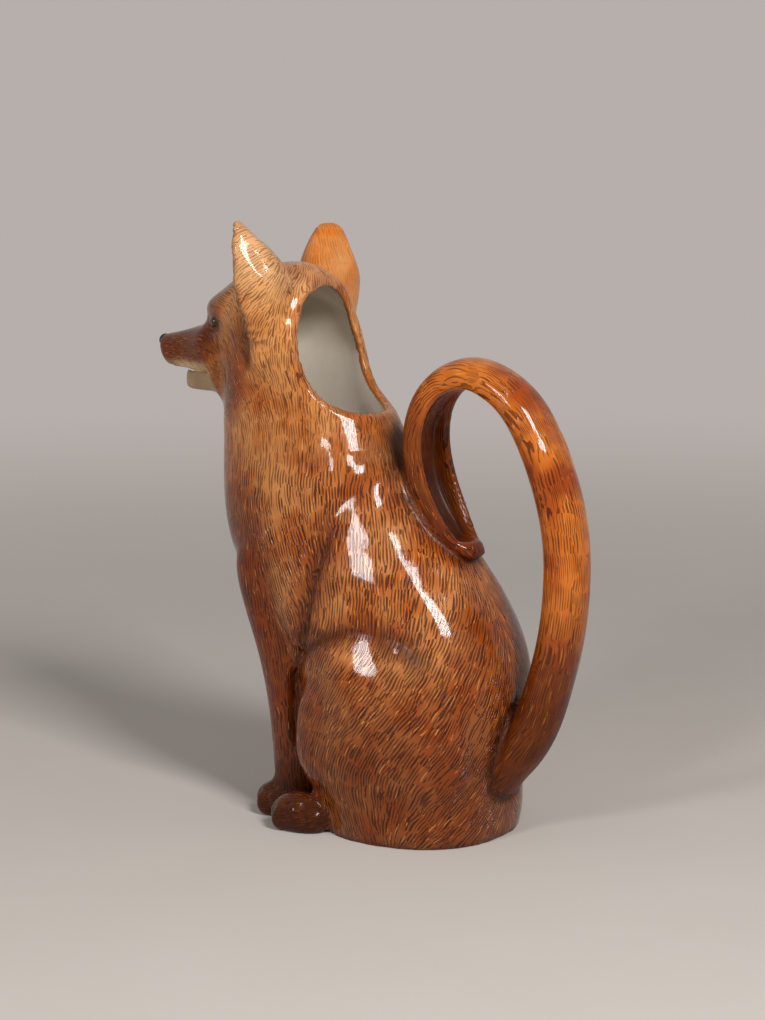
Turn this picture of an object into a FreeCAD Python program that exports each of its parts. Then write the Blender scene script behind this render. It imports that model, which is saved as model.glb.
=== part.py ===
"""A glazed earthenware carafe in the shape of a seated fox, about 280 mm tall.

Frame: +Z up, the fox looks along -X, and its own left side is -Y. The origin is the middle of the flat foot.
The carafe is filled through the opening behind the head, carried by the tail, and pours through the mouth.
Every luted piece is cut by the form that it sits on, so that neighbours meet face to face and never overlap.
"""

import FreeCAD
import Part
import math
import os

Vector = FreeCAD.Vector

RING_POINTS = 20
QUARTER_TURN = 90.0
SIDES = {"left": -1.0, "right": 1.0}

# Driving sizes in millimetres, and angles in degrees.
SIZES = {
    # seated figure, from the foot to the crown between the ears
    "crown_height": 257.0,
    "chest_reach": 99.5,
    "rump_reach": 54.0,
    "body_width": 90.0,
    "wall": 5.0,
    "slab_thickness": 6.0,
    "seam_height": 176.0,
    "overrun": 30.0,
    # haunches
    "haunch_length": 88.0,
    "haunch_height": 96.0,
    "haunch_level": 45.0,
    "haunch_thickness": 41.0,
    "haunch_spread": 58.0,
    "haunch_back": 4.0,
    # forelegs
    "leg_spread": 35.0,
    "leg_reach": 53.5,
    "leg_width": 21.0,
    "leg_height": 132.0,
    # filling opening behind the head
    "opening_height": 60.0,
    "opening_depth": 30.0,
    "opening_sill": 192.0,
    "opening_back": 17.5,
    # ears
    "left_ear_height": 55.0,
    "right_ear_height": 48.8,
    "ear_width": 30.0,
    "ear_depth": 25.0,
    "ear_base_height": 225.6,
    "ear_spread": 51.0,
    "ear_splay": 11.7,
    "ear_reach": 62.6,
    "ear_lean": 8.6,
    "ear_turn": 25.0,
    "ear_wall": 3.6,
    # muzzle, jaw and the channel between them
    "muzzle_reach": 138.8,
    "muzzle_root": 92.0,
    "muzzle_width": 42.0,
    "muzzle_height": 32.0,
    "muzzle_level": 200.0,
    "jaw_reach": 128.0,
    "jaw_root": 90.0,
    "jaw_width": 28.0,
    "jaw_height": 7.6,
    "jaw_level": 196.4,
    "channel_width": 12.0,
    "channel_height": 7.4,
    "channel_level": 204.1,
    "channel_root": 86.0,
    # nose and eyes
    "nose_width": 10.5,
    "nose_height": 8.0,
    "nose_depth": 7.0,
    "nose_reach": 138.2,
    "nose_level": 218.4,
    "eye_length": 9.5,
    "eye_height": 7.0,
    "eye_thickness": 6.0,
    "eye_spread": 39.0,
    "eye_reach": 99.0,
    "eye_level": 231.0,
    "eye_turn": 38.0,
    # tail
    "tail_height": 212.0,
    "tail_reach": 81.5,
    "tail_width": 25.5,
    "tail_thickness": 20.0,
    # paws
    "forepaw_length": 28.0,
    "forepaw_width": 21.0,
    "forepaw_height": 17.5,
    "forepaw_reach": 59.0,
    "forepaw_spread": 38.0,
    "hind_paw_length": 31.0,
    "hind_paw_width": 20.0,
    "hind_paw_height": 18.0,
    "hind_paw_reach": 37.0,
    "hind_paw_spread": 75.0,
    "toe_width": 6.6,
    "toe_length": 12.0,
}

# Levels of the figure: height as a share of crown height, front and back as shares of chest reach and rump reach, half
# width as a share of half the body's width, squareness of the ring, how much fuller it is behind, share of the wall.
FIGURE_SHARES = [
    (0.000, 0.375, 0.900, 0.975, 2.30, 0.00, 1.00),
    (0.086, 0.395, 0.945, 0.990, 2.30, 0.00, 1.00),
    (0.175, 0.430, 1.000, 0.980, 2.30, 0.02, 1.00),
    (0.280, 0.520, 1.020, 1.000, 2.30, 0.08, 1.00),
    (0.374, 0.740, 0.915, 0.975, 2.25, 0.10, 1.00),
    (0.459, 0.905, 0.690, 0.915, 2.20, 0.08, 1.00),
    (0.545, 0.985, 0.370, 0.850, 2.15, 0.04, 1.00),
    (0.642, 1.000, 0.045, 0.775, 2.15, 0.02, 1.00),
    (0.739, 0.995, -0.250, 0.720, 2.15, 0.00, 1.00),
    (0.802, 0.995, -0.390, 0.715, 2.15, 0.04, 1.00),
    (0.845, 1.020, -0.460, 0.735, 2.10, 0.10, 1.00),
    (0.885, 1.090, -0.540, 0.705, 2.10, 0.14, 1.00),
    (0.922, 1.095, -0.630, 0.655, 2.10, 0.14, 1.00),
    (0.957, 1.015, -0.750, 0.555, 2.10, 0.08, 0.95),
    (0.984, 0.930, -0.910, 0.390, 2.10, 0.00, 0.80),
    (1.000, 0.800, -1.120, 0.155, 2.00, 0.00, 0.35),
]
# Share of the height above which the hollow's levels come down under the crown, by up to the wall.
CROWN_SHARE = 0.93

# Foreleg levels: height as a share of leg height, reach and spread as shares of theirs, length and width as shares of
# the leg's width.
LEG_SHARES = [
    (0.00, 0.990, 1.00, 1.02, 0.95),
    (0.20, 1.000, 1.00, 1.00, 0.92),
    (0.42, 1.040, 1.01, 1.09, 1.00),
    (0.61, 1.095, 1.05, 1.31, 1.22),
    (0.80, 1.180, 1.09, 1.62, 1.44),
    (1.00, 1.200, 1.06, 1.56, 1.50),
]

# The opening's edge seen from the side, from the top down: back from its foremost line as a share of its depth, and
# height above its sill as a share of its height.
OPENING_SHARES = [
    (0.000, 1.030),
    (0.000, 0.870),
    (0.010, 0.683),
    (0.083, 0.500),
    (0.200, 0.317),
    (0.383, 0.167),
    (0.650, 0.067),
    (0.917, 0.017),
    (1.200, 0.000),
    (1.600, -0.030),
]

# Ear levels: height, splay, lean, width and depth, each as a share of the ear's own.
EAR_SHARES = [
    (0.00, 0.00, 0.00, 0.70, 0.75),
    (0.20, 0.05, 0.05, 0.92, 0.95),
    (0.40, 0.20, 0.20, 1.00, 1.04),
    (0.58, 0.42, 0.34, 0.93, 0.95),
    (0.75, 0.66, 0.58, 0.76, 0.62),
    (0.88, 0.86, 0.80, 0.54, 0.36),
    (0.96, 0.96, 0.93, 0.34, 0.21),
    (1.00, 1.00, 1.00, 0.15, 0.10),
]

# Stations from root to tip: distance as a share of the length, underside and top as shares of the height, and width
# as a share of the width.
MUZZLE_SHARES = [
    (0.000, 0.000, 1.000, 1.000),
    (0.230, 0.060, 0.985, 0.980),
    (0.420, 0.140, 0.920, 0.800),
    (0.630, 0.165, 0.815, 0.590),
    (0.800, 0.185, 0.745, 0.490),
    (0.920, 0.250, 0.705, 0.410),
    (0.980, 0.400, 0.680, 0.310),
    (1.000, 0.520, 0.630, 0.150),
]
JAW_SHARES = [
    (0.00, -0.10, 1.00, 1.00),
    (0.38, 0.00, 0.98, 0.96),
    (0.66, 0.02, 0.95, 0.80),
    (0.84, 0.06, 0.93, 0.64),
    (0.95, 0.20, 0.90, 0.45),
    (1.00, 0.46, 0.78, 0.22),
]

# Tail stations from root to tip: reach and height as shares of the tail's, thickness and width as shares of its own,
# squareness of the ring, and how far its inner face is hollowed as a share of half the thickness.
TAIL_SHARES = [
    (0.540, 0.132, 1.33, 1.14, 2.0, 0.00),
    (0.675, 0.189, 1.13, 1.06, 2.0, 0.00),
    (0.798, 0.255, 1.06, 1.02, 2.0, 0.00),
    (0.883, 0.340, 1.02, 1.00, 2.0, 0.00),
    (0.957, 0.448, 1.00, 1.00, 2.0, 0.00),
    (0.994, 0.575, 1.00, 1.00, 2.0, 0.00),
    (0.984, 0.675, 1.00, 1.00, 2.0, 0.00),
    (0.924, 0.775, 1.00, 1.00, 2.0, 0.00),
    (0.828, 0.866, 0.97, 1.00, 2.0, 0.00),
    (0.680, 0.951, 0.91, 1.00, 2.1, 0.10),
    (0.540, 0.988, 0.85, 1.00, 2.2, 0.25),
    (0.373, 1.003, 0.82, 1.02, 2.3, 0.45),
    (0.203, 0.971, 0.80, 1.05, 2.5, 0.70),
    (0.110, 0.908, 0.79, 1.09, 2.7, 0.90),
    (0.093, 0.840, 0.78, 1.12, 2.8, 1.00),
    (0.125, 0.778, 0.78, 1.12, 2.8, 1.00),
    (0.180, 0.726, 0.76, 1.09, 2.7, 0.90),
    (0.262, 0.679, 0.70, 0.99, 2.5, 0.65),
    (0.352, 0.641, 0.56, 0.80, 2.2, 0.30),
    (0.430, 0.611, 0.30, 0.44, 2.0, 0.00),
]

# Toes of a paw: sideways as a share of the paw's width, and back from its front as a share of the toe's length.
TOE_SHARES = [(-0.34, 0.72), (-0.12, 0.50), (0.12, 0.50), (0.34, 0.72)]
TOE_HEIGHT_SHARE = 0.78
PAW_SINK_SHARE = 0.40

doc = FreeCAD.newDocument("fox_carafe")
sheet = doc.addObject("Spreadsheet::Sheet", "Sizes")
for row, (alias, value) in enumerate(SIZES.items(), start=1):
    sheet.set("A%d" % row, alias)
    sheet.set("B%d" % row, repr(value))
    sheet.setAlias("B%d" % row, alias)
doc.recompute()


def size(alias):
    """The sheet's value for a named size."""
    return float(sheet.get(alias))


def oval(half_long, half_wide, squareness, fuller_behind=0.0, hollow=0.0):
    """Points of a ring as (along, across) pairs; a hollow dishes its negative side."""
    points = []
    for step in range(RING_POINTS):
        turn = 2.0 * math.pi * step / RING_POINTS
        along = math.copysign(abs(math.cos(turn)) ** (2.0 / squareness), math.cos(turn))
        across = math.copysign(abs(math.sin(turn)) ** (2.0 / squareness), math.sin(turn))
        dished = 1.0 - hollow * max(0.0, -along) * (1.0 - across * across)
        points.append((half_long * along * dished, half_wide * across * (1.0 + fuller_behind * along)))
    return points


def feature(name, shape):
    """A document object that holds a shape made from the sheet's sizes."""
    made = doc.addObject("Part::Feature", name)
    made.Shape = shape
    return made


def ring(name, points):
    """A smooth closed wire through the points."""
    curve = Part.BSplineCurve()
    curve.interpolate(Points=points, PeriodicFlag=True)
    return feature(name, Part.Wire([curve.toShape()]))


def loft(name, rings):
    """A smooth solid through closed rings, with flat ends."""
    made = doc.addObject("Part::Loft", name)
    made.Sections = [ring("%s_ring_%02d" % (name, number), points) for number, points in enumerate(rings, start=1)]
    made.Solid = True
    made.Ruled = False
    doc.recompute([made])
    return made


def cut(name, base, tool):
    made = doc.addObject("Part::Cut", name)
    made.Base = base
    made.Tool = tool
    doc.recompute([made])
    return made


def cut_by_all(name, base, tools):
    """A piece that each of the tools cuts in turn; the last cut carries the piece's name."""
    for number, tool in enumerate(tools[:-1], start=1):
        base = cut("%s_cut_%d" % (name, number), base, tool)
    return cut(name, base, tools[-1])


def common(name, base, tool):
    made = doc.addObject("Part::Common", name)
    made.Base = base
    made.Tool = tool
    doc.recompute([made])
    return made


def fuse(name, shapes):
    made = doc.addObject("Part::MultiFuse", name)
    made.Shapes = shapes
    doc.recompute([made])
    return made


def bind(made, expressions):
    """Binds properties of an object to expressions on the sheet."""
    for path, expression in expressions.items():
        made.setExpression(path, expression)
    doc.recompute([made])
    return made


def level_slice(name, low, high):
    """A slice wider than the whole figure between two heights, given as expressions."""
    made = doc.addObject("Part::Box", name)
    return bind(
        made,
        {
            "Length": "2 * (Sizes.muzzle_reach + Sizes.overrun)",
            "Width": "Sizes.body_width + 2 * Sizes.overrun",
            "Height": "(%s) - (%s)" % (high, low),
            "Placement.Base.x": "-(Sizes.muzzle_reach + Sizes.overrun)",
            "Placement.Base.y": "-(0.5 * Sizes.body_width + Sizes.overrun)",
            "Placement.Base.z": low,
        },
    )


def ellipsoid(name, full_sizes, middle, turn="0"):
    """A whole ellipsoid from its full sizes, its middle and its turn about Z, all given as expressions."""
    made = doc.addObject("Part::Ellipsoid", name)
    made.Angle1 = -QUARTER_TURN
    made.Angle2 = QUARTER_TURN
    made.Placement.Rotation = FreeCAD.Rotation(Vector(0.0, 0.0, 1.0), 0.0)
    return bind(
        made,
        {
            "Radius2": "0.5 * (%s)" % full_sizes[0],
            "Radius3": "0.5 * (%s)" % full_sizes[1],
            "Radius1": "0.5 * (%s)" % full_sizes[2],
            "Placement": "placement(vector(%s; %s; %s); rotation(vector(0; 0; 1); %s))" % (*middle, turn),
        },
    )


def figure_rings(inset):
    """Level rings of the seated figure, taken in by inset all round."""
    rings = []
    for height, front, back, half_width, squareness, fuller, wall_share in FIGURE_SHARES:
        dropped = max(0.0, height - CROWN_SHARE) / (1.0 - CROWN_SHARE)
        level = size("crown_height") * height - inset * dropped
        front_x = inset * wall_share - size("chest_reach") * front
        back_x = size("rump_reach") * back - inset * wall_share
        half_wide = 0.5 * size("body_width") * half_width - inset * wall_share
        middle = 0.5 * (front_x + back_x)
        outline = oval(0.5 * (back_x - front_x), half_wide, squareness, fuller)
        rings.append([Vector(middle + along, across, level) for along, across in outline])
    return rings


def foreleg_rings(side):
    """Level rings of a foreleg, from the ground up into the chest."""
    rings = []
    for height, reach, spread, length, width in LEG_SHARES:
        middle_x = -size("leg_reach") * reach
        middle_y = side * 0.5 * size("leg_spread") * spread
        outline = oval(0.5 * size("leg_width") * length, 0.5 * size("leg_width") * width, 2.0)
        level = size("leg_height") * height
        rings.append([Vector(middle_x + along, middle_y + across, level) for along, across in outline])
    return rings


def opening_form():
    """All that lies behind the opening's edge, right across the head."""
    foremost = -(size("opening_back") + size("opening_depth"))
    edge = []
    for back, up in OPENING_SHARES:
        level = size("opening_sill") + size("opening_height") * up
        edge.append(Vector(foremost + size("opening_depth") * back, 0.0, level))
    curve = Part.BSplineCurve()
    curve.interpolate(edge)
    above = size("crown_height") + size("overrun")
    behind = edge[-1].x + size("overrun")
    corners = [
        edge[-1],
        Vector(behind, 0.0, edge[-1].z),
        Vector(behind, 0.0, above),
        Vector(edge[0].x, 0.0, above),
        edge[0],
    ]
    face = Part.Face(Part.Wire([curve.toShape()] + Part.makePolygon(corners).Edges))
    face.translate(Vector(0.0, -size("body_width"), 0.0))
    return face.extrude(Vector(0.0, 2.0 * size("body_width"), 0.0))


def ear_rings(side, full_height, inset):
    """Level rings of an ear. The inset ones are narrower and moved forward, to cut the ear's cup."""
    turn = math.radians(size("ear_turn"))
    facing = Vector(-math.cos(turn), side * math.sin(turn), 0.0)
    across_way = Vector(math.sin(turn), side * math.cos(turn), 0.0)
    narrowed = 1.0 - 2.0 * inset / size("ear_width")
    lowered = 1.0 - 0.5 * inset / full_height
    rings = []
    for height, splay, lean, width, depth in EAR_SHARES:
        middle = Vector(
            -(size("ear_reach") + size("ear_lean") * lean),
            side * (0.5 * size("ear_spread") + size("ear_splay") * splay),
            size("ear_base_height") + full_height * height * lowered,
        )
        middle = middle + facing * inset * depth
        outline = oval(0.5 * size("ear_depth") * depth, 0.5 * size("ear_width") * width * narrowed, 2.0)
        rings.append([middle + facing * along + across_way * across for along, across in outline])
    return rings


def beak_rings(piece, shares, squareness):
    """Upright rings of a form that tapers along -X, for the muzzle and the jaw."""
    root = size(piece + "_root")
    length = size(piece + "_reach") - root
    rings = []
    for distance, low, high, wide in shares:
        middle = size(piece + "_level") + size(piece + "_height") * 0.5 * (low + high)
        outline = oval(0.5 * size(piece + "_height") * (high - low), 0.5 * size(piece + "_width") * wide, squareness)
        rings.append([Vector(-(root + length * distance), across, middle + up) for up, across in outline])
    return rings


def tail_rings():
    """Rings square to the tail's spine, from inside the rump, over the top and down the back to the tip."""
    spine = []
    for reach, height, *_ in TAIL_SHARES:
        spine.append(Vector(size("tail_reach") * reach, 0.0, size("tail_height") * height))
    rings = []
    for number, (_, _, thickness, width, squareness, hollow) in enumerate(TAIL_SHARES):
        heading = (spine[min(len(spine) - 1, number + 1)] - spine[max(0, number - 1)]).normalize()
        outward = Vector(heading.z, 0.0, -heading.x)
        half_thick = 0.5 * size("tail_thickness") * thickness
        outline = oval(half_thick, 0.5 * size("tail_width") * width, squareness, 0.0, hollow)
        rings.append([spine[number] + outward * out + Vector(0.0, across, 0.0) for out, across in outline])
    return rings


def paw(side_name, side, kind, neighbours):
    """A paw with four toes, cut flat by the ground and by the forms that it sits against."""
    name = "%s_%s" % (side_name, kind)
    middle_y = "%g * 0.5 * Sizes.%s_spread" % (side, kind)
    parts = [
        ellipsoid(
            name + "_pad",
            ("Sizes.%s_length" % kind, "Sizes.%s_width" % kind, "2 * Sizes.%s_height * %g" % (kind, 1 - PAW_SINK_SHARE)),
            ("-Sizes.%s_reach" % kind, middle_y, "Sizes.%s_height * %g" % (kind, PAW_SINK_SHARE)),
        )
    ]
    for number, (sideways, back) in enumerate(TOE_SHARES, start=1):
        front = "-Sizes.%s_reach - 0.5 * Sizes.%s_length" % (kind, kind)
        parts.append(
            ellipsoid(
                "%s_toe_%d" % (name, number),
                ("Sizes.toe_length", "Sizes.toe_width", "Sizes.%s_height * %g" % (kind, TOE_HEIGHT_SHARE)),
                (
                    "%s + Sizes.toe_length * %g" % (front, back),
                    "%s + Sizes.%s_width * %g" % (middle_y, kind, sideways),
                    "Sizes.%s_height * %g" % (kind, 0.5 * TOE_HEIGHT_SHARE),
                ),
            )
        )
    whole = fuse(name + "_form", parts)
    standing = common(name + "_standing", whole, above_ground)
    return cut_by_all(name, standing, neighbours)


# The seated figure without its limbs, and its hollow.
torso = loft("torso_form", figure_rings(0.0))
hollow = loft("hollow_form", figure_rings(size("wall")))
above_ground = level_slice("above_ground", "0", "Sizes.crown_height")

# The foot slab closes the hollow from below, and lies flush with the body's rim.
foot_slab = common("foot_slab", hollow, level_slice("slab_slice", "0", "Sizes.slab_thickness"))

# The body casting, from its rim on the table to the seam below the neck.
body_slice = level_slice("body_slice", "0", "Sizes.seam_height")
body_shell = cut("body_shell", common("body_solid", torso, body_slice), hollow)

# The muzzle and the jaw, and the channel that they leave between them.
muzzle_form = loft("muzzle_form", beak_rings("muzzle", MUZZLE_SHARES, 2.2))
jaw_form = loft("jaw_form", beak_rings("jaw", JAW_SHARES, 2.4))
channel_length = "(Sizes.muzzle_reach - Sizes.channel_root)"
channel = bind(
    doc.addObject("Part::Box", "channel"),
    {
        "Length": channel_length,
        "Width": "Sizes.channel_width",
        "Height": "Sizes.channel_height",
        "Placement.Base.x": "-Sizes.muzzle_reach",
        "Placement.Base.y": "-0.5 * Sizes.channel_width",
        "Placement.Base.z": "Sizes.channel_level - 0.5 * Sizes.channel_height",
    },
)
muzzle = cut_by_all("muzzle", muzzle_form, [torso, channel])
lower_jaw = cut_by_all("lower_jaw", jaw_form, [torso, muzzle_form, channel])

# The head casting, from the seam up, open behind and through to the mouth.
head_slice = level_slice("head_slice", "Sizes.seam_height", "Sizes.crown_height")
head_solid = common("head_solid", torso, head_slice)
opening = feature("opening_form", opening_form())
head_shell = cut_by_all("head_shell", head_solid, [hollow, opening, channel])

# The nose is a pellet on the muzzle's tip.
nose_form = ellipsoid(
    "nose_form",
    ("Sizes.nose_depth", "Sizes.nose_width", "Sizes.nose_height"),
    ("-Sizes.nose_reach", "0", "Sizes.nose_level"),
)
nose = cut("nose", nose_form, muzzle_form)

# Ears, eyes, haunches, forelegs and paws come in pairs.
pieces = [body_shell, foot_slab, head_shell, muzzle, lower_jaw, nose]
haunches = []
for side_name, side in SIDES.items():
    ear_height = size(side_name + "_ear_height")
    ear_form = loft(side_name + "_ear_form", ear_rings(side, ear_height, 0.0))
    ear_cup = loft(side_name + "_ear_cup", ear_rings(side, ear_height, size("ear_wall")))
    pieces.append(cut_by_all(side_name + "_ear", ear_form, [ear_cup, torso]))
    eye_form = ellipsoid(
        side_name + "_eye_form",
        ("Sizes.eye_length", "Sizes.eye_thickness", "Sizes.eye_height"),
        ("-Sizes.eye_reach", "%g * 0.5 * Sizes.eye_spread" % side, "Sizes.eye_level"),
        "%g * Sizes.eye_turn" % side,
    )
    pieces.append(cut_by_all(side_name + "_eye", eye_form, [torso, muzzle_form]))
    haunch_form = ellipsoid(
        side_name + "_haunch_form",
        ("Sizes.haunch_length", "Sizes.haunch_thickness", "Sizes.haunch_height"),
        ("Sizes.haunch_back", "%g * 0.5 * Sizes.haunch_spread" % side, "Sizes.haunch_level"),
    )
    haunches.append(haunch_form)
    pieces.append(cut(side_name + "_haunch", common(side_name + "_haunch_standing", haunch_form, above_ground), torso))
    foreleg_form = loft(side_name + "_foreleg_form", foreleg_rings(side))
    pieces.append(cut_by_all(side_name + "_foreleg", foreleg_form, [torso, haunch_form]))
    beside_paws = [torso, foreleg_form, haunch_form]
    pieces.append(paw(side_name, side, "forepaw", beside_paws))
    pieces.append(paw(side_name, side, "hind_paw", beside_paws))

# The tail is the handle: it leaves the rump, and its flattened end comes down the back.
pieces.append(cut_by_all("tail_handle", loft("tail_form", tail_rings()), [torso, *haunches]))

doc.recompute()
for made in doc.Objects:
    if "Invalid" in made.State or "Error" in made.State:
        raise RuntimeError("%s failed: %s" % (made.Name, made.State))
for piece in pieces:
    piece.Label = piece.Name
    shape = piece.Shape
    if shape.isNull() or not shape.isValid() or not shape.Solids:
        raise RuntimeError("%s has no valid solid" % piece.Label)

os.makedirs("parts", exist_ok=True)
for piece in pieces:
    piece.Shape.exportStep(os.path.join("parts", piece.Label + ".step"))
    box = piece.Shape.BoundBox
    corners = (box.XMin, box.YMin, box.ZMin, box.XMax, box.YMax, box.ZMax)
    print("%-16s %2d solid  %8.0f mm3  " % (piece.Label, len(piece.Shape.Solids), piece.Shape.Volume), end="")
    print("x %.1f y %.1f z %.1f to x %.1f y %.1f z %.1f" % corners)
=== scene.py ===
"""The fox carafe, dressed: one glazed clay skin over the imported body, cut into its named pieces and painted."""

import logging
import math
from dataclasses import dataclass, field
from enum import Enum

import bmesh
import bpy
import numpy as np
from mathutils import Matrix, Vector
from mathutils.bvhtree import BVHTree


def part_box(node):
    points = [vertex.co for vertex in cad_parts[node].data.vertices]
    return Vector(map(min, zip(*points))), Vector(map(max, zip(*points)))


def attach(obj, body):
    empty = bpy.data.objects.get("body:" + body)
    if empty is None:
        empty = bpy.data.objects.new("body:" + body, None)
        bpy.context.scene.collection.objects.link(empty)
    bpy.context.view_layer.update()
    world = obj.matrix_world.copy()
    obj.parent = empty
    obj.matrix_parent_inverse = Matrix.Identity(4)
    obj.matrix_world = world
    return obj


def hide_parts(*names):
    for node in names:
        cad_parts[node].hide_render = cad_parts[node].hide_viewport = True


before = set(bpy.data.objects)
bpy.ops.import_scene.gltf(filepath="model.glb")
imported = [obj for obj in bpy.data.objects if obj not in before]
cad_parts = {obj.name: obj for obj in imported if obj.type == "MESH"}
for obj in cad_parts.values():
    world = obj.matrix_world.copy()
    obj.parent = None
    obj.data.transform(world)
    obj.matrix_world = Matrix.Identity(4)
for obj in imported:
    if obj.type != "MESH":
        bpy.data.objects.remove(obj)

log = logging.getLogger("fox_carafe")
MM = 0.001
TINY = 1e-9
Triple = tuple[float, float, float]
Line = tuple[Triple, ...]
Tint = tuple[float, float, float, float]
Array = np.ndarray
Socket = bpy.types.NodeSocket
Material = bpy.types.Material


class Slot(Enum):
    """The record's material slots."""

    FUR = "caramel_fur_glaze"
    TAIL = "tail_glaze"
    MUZZLE = "muzzle_glaze"
    PAW = "paw_glaze"
    JAW = "jaw_glaze"
    NOSE = "nose_glaze"
    EYE = "eye_glaze"
    FOOT = "bare_foot"


class Region(Enum):
    """Parts of the casting's skin, in the order of their numbers."""

    BODY = "body_shell"
    FOOT = "foot_slab"
    HEAD = "head_shell"
    MUZZLE = "muzzle"
    JAW = "lower_jaw"
    LEFT_EAR = "left_ear"
    RIGHT_EAR = "right_ear"
    LEFT_HAUNCH = "left_haunch"
    RIGHT_HAUNCH = "right_haunch"
    LEFT_FORELEG = "left_foreleg"
    RIGHT_FORELEG = "right_foreleg"
    LEFT_FOREPAW = "left_forepaw"
    RIGHT_FOREPAW = "right_forepaw"
    LEFT_HIND_PAW = "left_hind_paw"
    RIGHT_HIND_PAW = "right_hind_paw"
    TAIL = "tail_handle"


REGIONS = list(Region)
CASTING = {Region.BODY, Region.FOOT, Region.HEAD}
FACE = {Region.HEAD, Region.MUZZLE, Region.JAW}
EARS = {Region.LEFT_EAR, Region.RIGHT_EAR}
HAUNCHES = {Region.LEFT_HAUNCH, Region.RIGHT_HAUNCH}
FORELEGS = {Region.LEFT_FORELEG, Region.RIGHT_FORELEG}
FOREPAWS = {Region.LEFT_FOREPAW, Region.RIGHT_FOREPAW}
HIND_PAWS = {Region.LEFT_HIND_PAW, Region.RIGHT_HIND_PAW}
PAWS = FOREPAWS | HIND_PAWS


def colour(red: float, green: float, blue: float) -> Tint:
    """A colour written as on a paint chart, turned into the shader's linear values.

    Args:
        red: Red, 0 to 255.
        green: Green, 0 to 255.
        blue: Blue, 0 to 255.

    Returns:
        Linear red, green and blue, and 1 for alpha.
    """
    shares = [value / 255 for value in (red, green, blue)]
    linear = [share / 12.92 if share <= 0.04045 else ((share + 0.055) / 1.055) ** 2.4 for share in shares]
    return linear[0], linear[1], linear[2], 1.0


HAZE = colour(182, 175, 171)
BLACK = (0.0, 0.0, 0.0, 1.0)


class Shader:
    """Builds the nodes of one material, or of the world."""

    def __init__(self, owner: Material | bpy.types.World) -> None:
        """Starts with an empty tree.

        Args:
            owner: The material or the world.
        """
        owner.use_nodes = True
        self.owner = owner
        self.tree = owner.node_tree
        self.tree.nodes.clear()

    def node(self, kind: str, settings: dict | None = None, **sockets: object) -> bpy.types.Node:
        """Adds a node.

        Args:
            kind: The node's type.
            settings: Properties of the node, set first.
            sockets: Values or links of its input sockets, by name with _ for a blank, or in_0, in_1 by number.

        Returns:
            The node.
        """
        made = self.tree.nodes.new(kind)
        for key, value in (settings or {}).items():
            setattr(made, key, value)
        for key, value in sockets.items():
            target = made.inputs[int(key[3:]) if key.startswith("in_") else key.replace("_", " ")]
            if isinstance(value, Value):
                value = value.socket
            if isinstance(value, Socket):
                self.tree.links.new(value, target)
            else:
                target.default_value = value
        return made

    def value(self, socket: Socket) -> "Value":
        """Wraps a number socket for arithmetic."""
        return Value(self, socket)

    def vector(self, operation: str, *inputs: object, out: int = 0) -> Socket:
        """Adds a vector operation on the inputs in their order, and gives its output of number out."""
        named = {"in_%d" % place: entry for place, entry in enumerate(inputs)}
        return self.node("ShaderNodeVectorMath", {"operation": operation}, **named).outputs[out]

    def dot(self, first: object, second: object) -> "Value":
        """The dot product of two vectors."""
        return self.value(self.vector("DOT_PRODUCT", first, second, out=1))

    def smooth(self, number: object, low: float, high: float) -> "Value":
        """A soft step.

        Args:
            number: What is stepped.
            low: Where it gives 0.
            high: Where it gives 1.

        Returns:
            0 to 1.
        """
        flip = low > high
        start, end = (high, low) if flip else (low, high)
        made = self.node("ShaderNodeMapRange", {"interpolation_type": "SMOOTHSTEP"}, Value=number,
                         From_Min=start, From_Max=end, To_Min=float(flip), To_Max=float(not flip))
        return self.value(made.outputs[0])

    def blend(self, share: object, first: object, second: object) -> Socket:
        """Mixes a share of the second colour into the first."""
        settings = {"data_type": "RGBA", "clamp_factor": True}
        return self.node("ShaderNodeMix", settings, in_0=share, in_6=first, in_7=second).outputs[2]

    def noise(self, place: object, scale: float, detail: float = 2.0, roughness: float = 0.5) -> "Value":
        """Noise in three dimensions.

        Args:
            place: The vector it is read at.
            scale: Waves per metre.
            detail: Octaves.
            roughness: Strength of the finer octaves.

        Returns:
            The noise, 0 to 1.
        """
        made = self.node("ShaderNodeTexNoise", {"noise_dimensions": "3D"},
                         Vector=place, Scale=scale, Detail=detail, Roughness=roughness)
        return self.value(made.outputs[0])

    def place(self) -> Socket:
        """Object coordinates."""
        return self.node("ShaderNodeTexCoord").outputs["Object"]

    def height(self) -> "Value":
        """Metres above the table."""
        return self.dot(self.place(), (0.0, 0.0, 1.0))

    def attribute(self, name: str) -> bpy.types.Node:
        """Reads an attribute of the piece's own mesh."""
        return self.node("ShaderNodeAttribute", {"attribute_type": "GEOMETRY", "attribute_name": name})

    def split(self, tint: Socket) -> list["Value"]:
        """The red, green and blue of a colour."""
        return [self.value(part) for part in self.node("ShaderNodeSeparateColor", Color=tint).outputs]

    def seen(self) -> "Value":
        """Tells the rays that look from the rays that light.

        Returns:
            1 for what the camera and the glaze see, 0 for the light that falls on the carafe.
        """
        rays = self.node("ShaderNodeLightPath").outputs
        camera = self.value(rays["Is Camera Ray"])
        return camera.highest(rays["Is Glossy Ray"]).highest(rays["Is Transmission Ray"])

    def finish(self, tint: object, roughness: object, height: object = None, depth: float = 0.0,
               **sockets: object) -> Material:
        """Adds the surface and its output.

        Args:
            tint: Base colour.
            roughness: Roughness.
            height: Relief, 0 to 1, or none.
            depth: Depth of the relief in metres.
            sockets: Further inputs of the surface.

        Returns:
            The material.
        """
        if height is not None:
            bump = self.node("ShaderNodeBump", Strength=1.0, Distance=depth, Height=height)
            sockets["Normal"] = bump.outputs[0]
        surface = self.node("ShaderNodeBsdfPrincipled", Base_Color=tint, Roughness=roughness, **sockets)
        self.node("ShaderNodeOutputMaterial", Surface=surface.outputs[0])
        return self.owner


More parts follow.
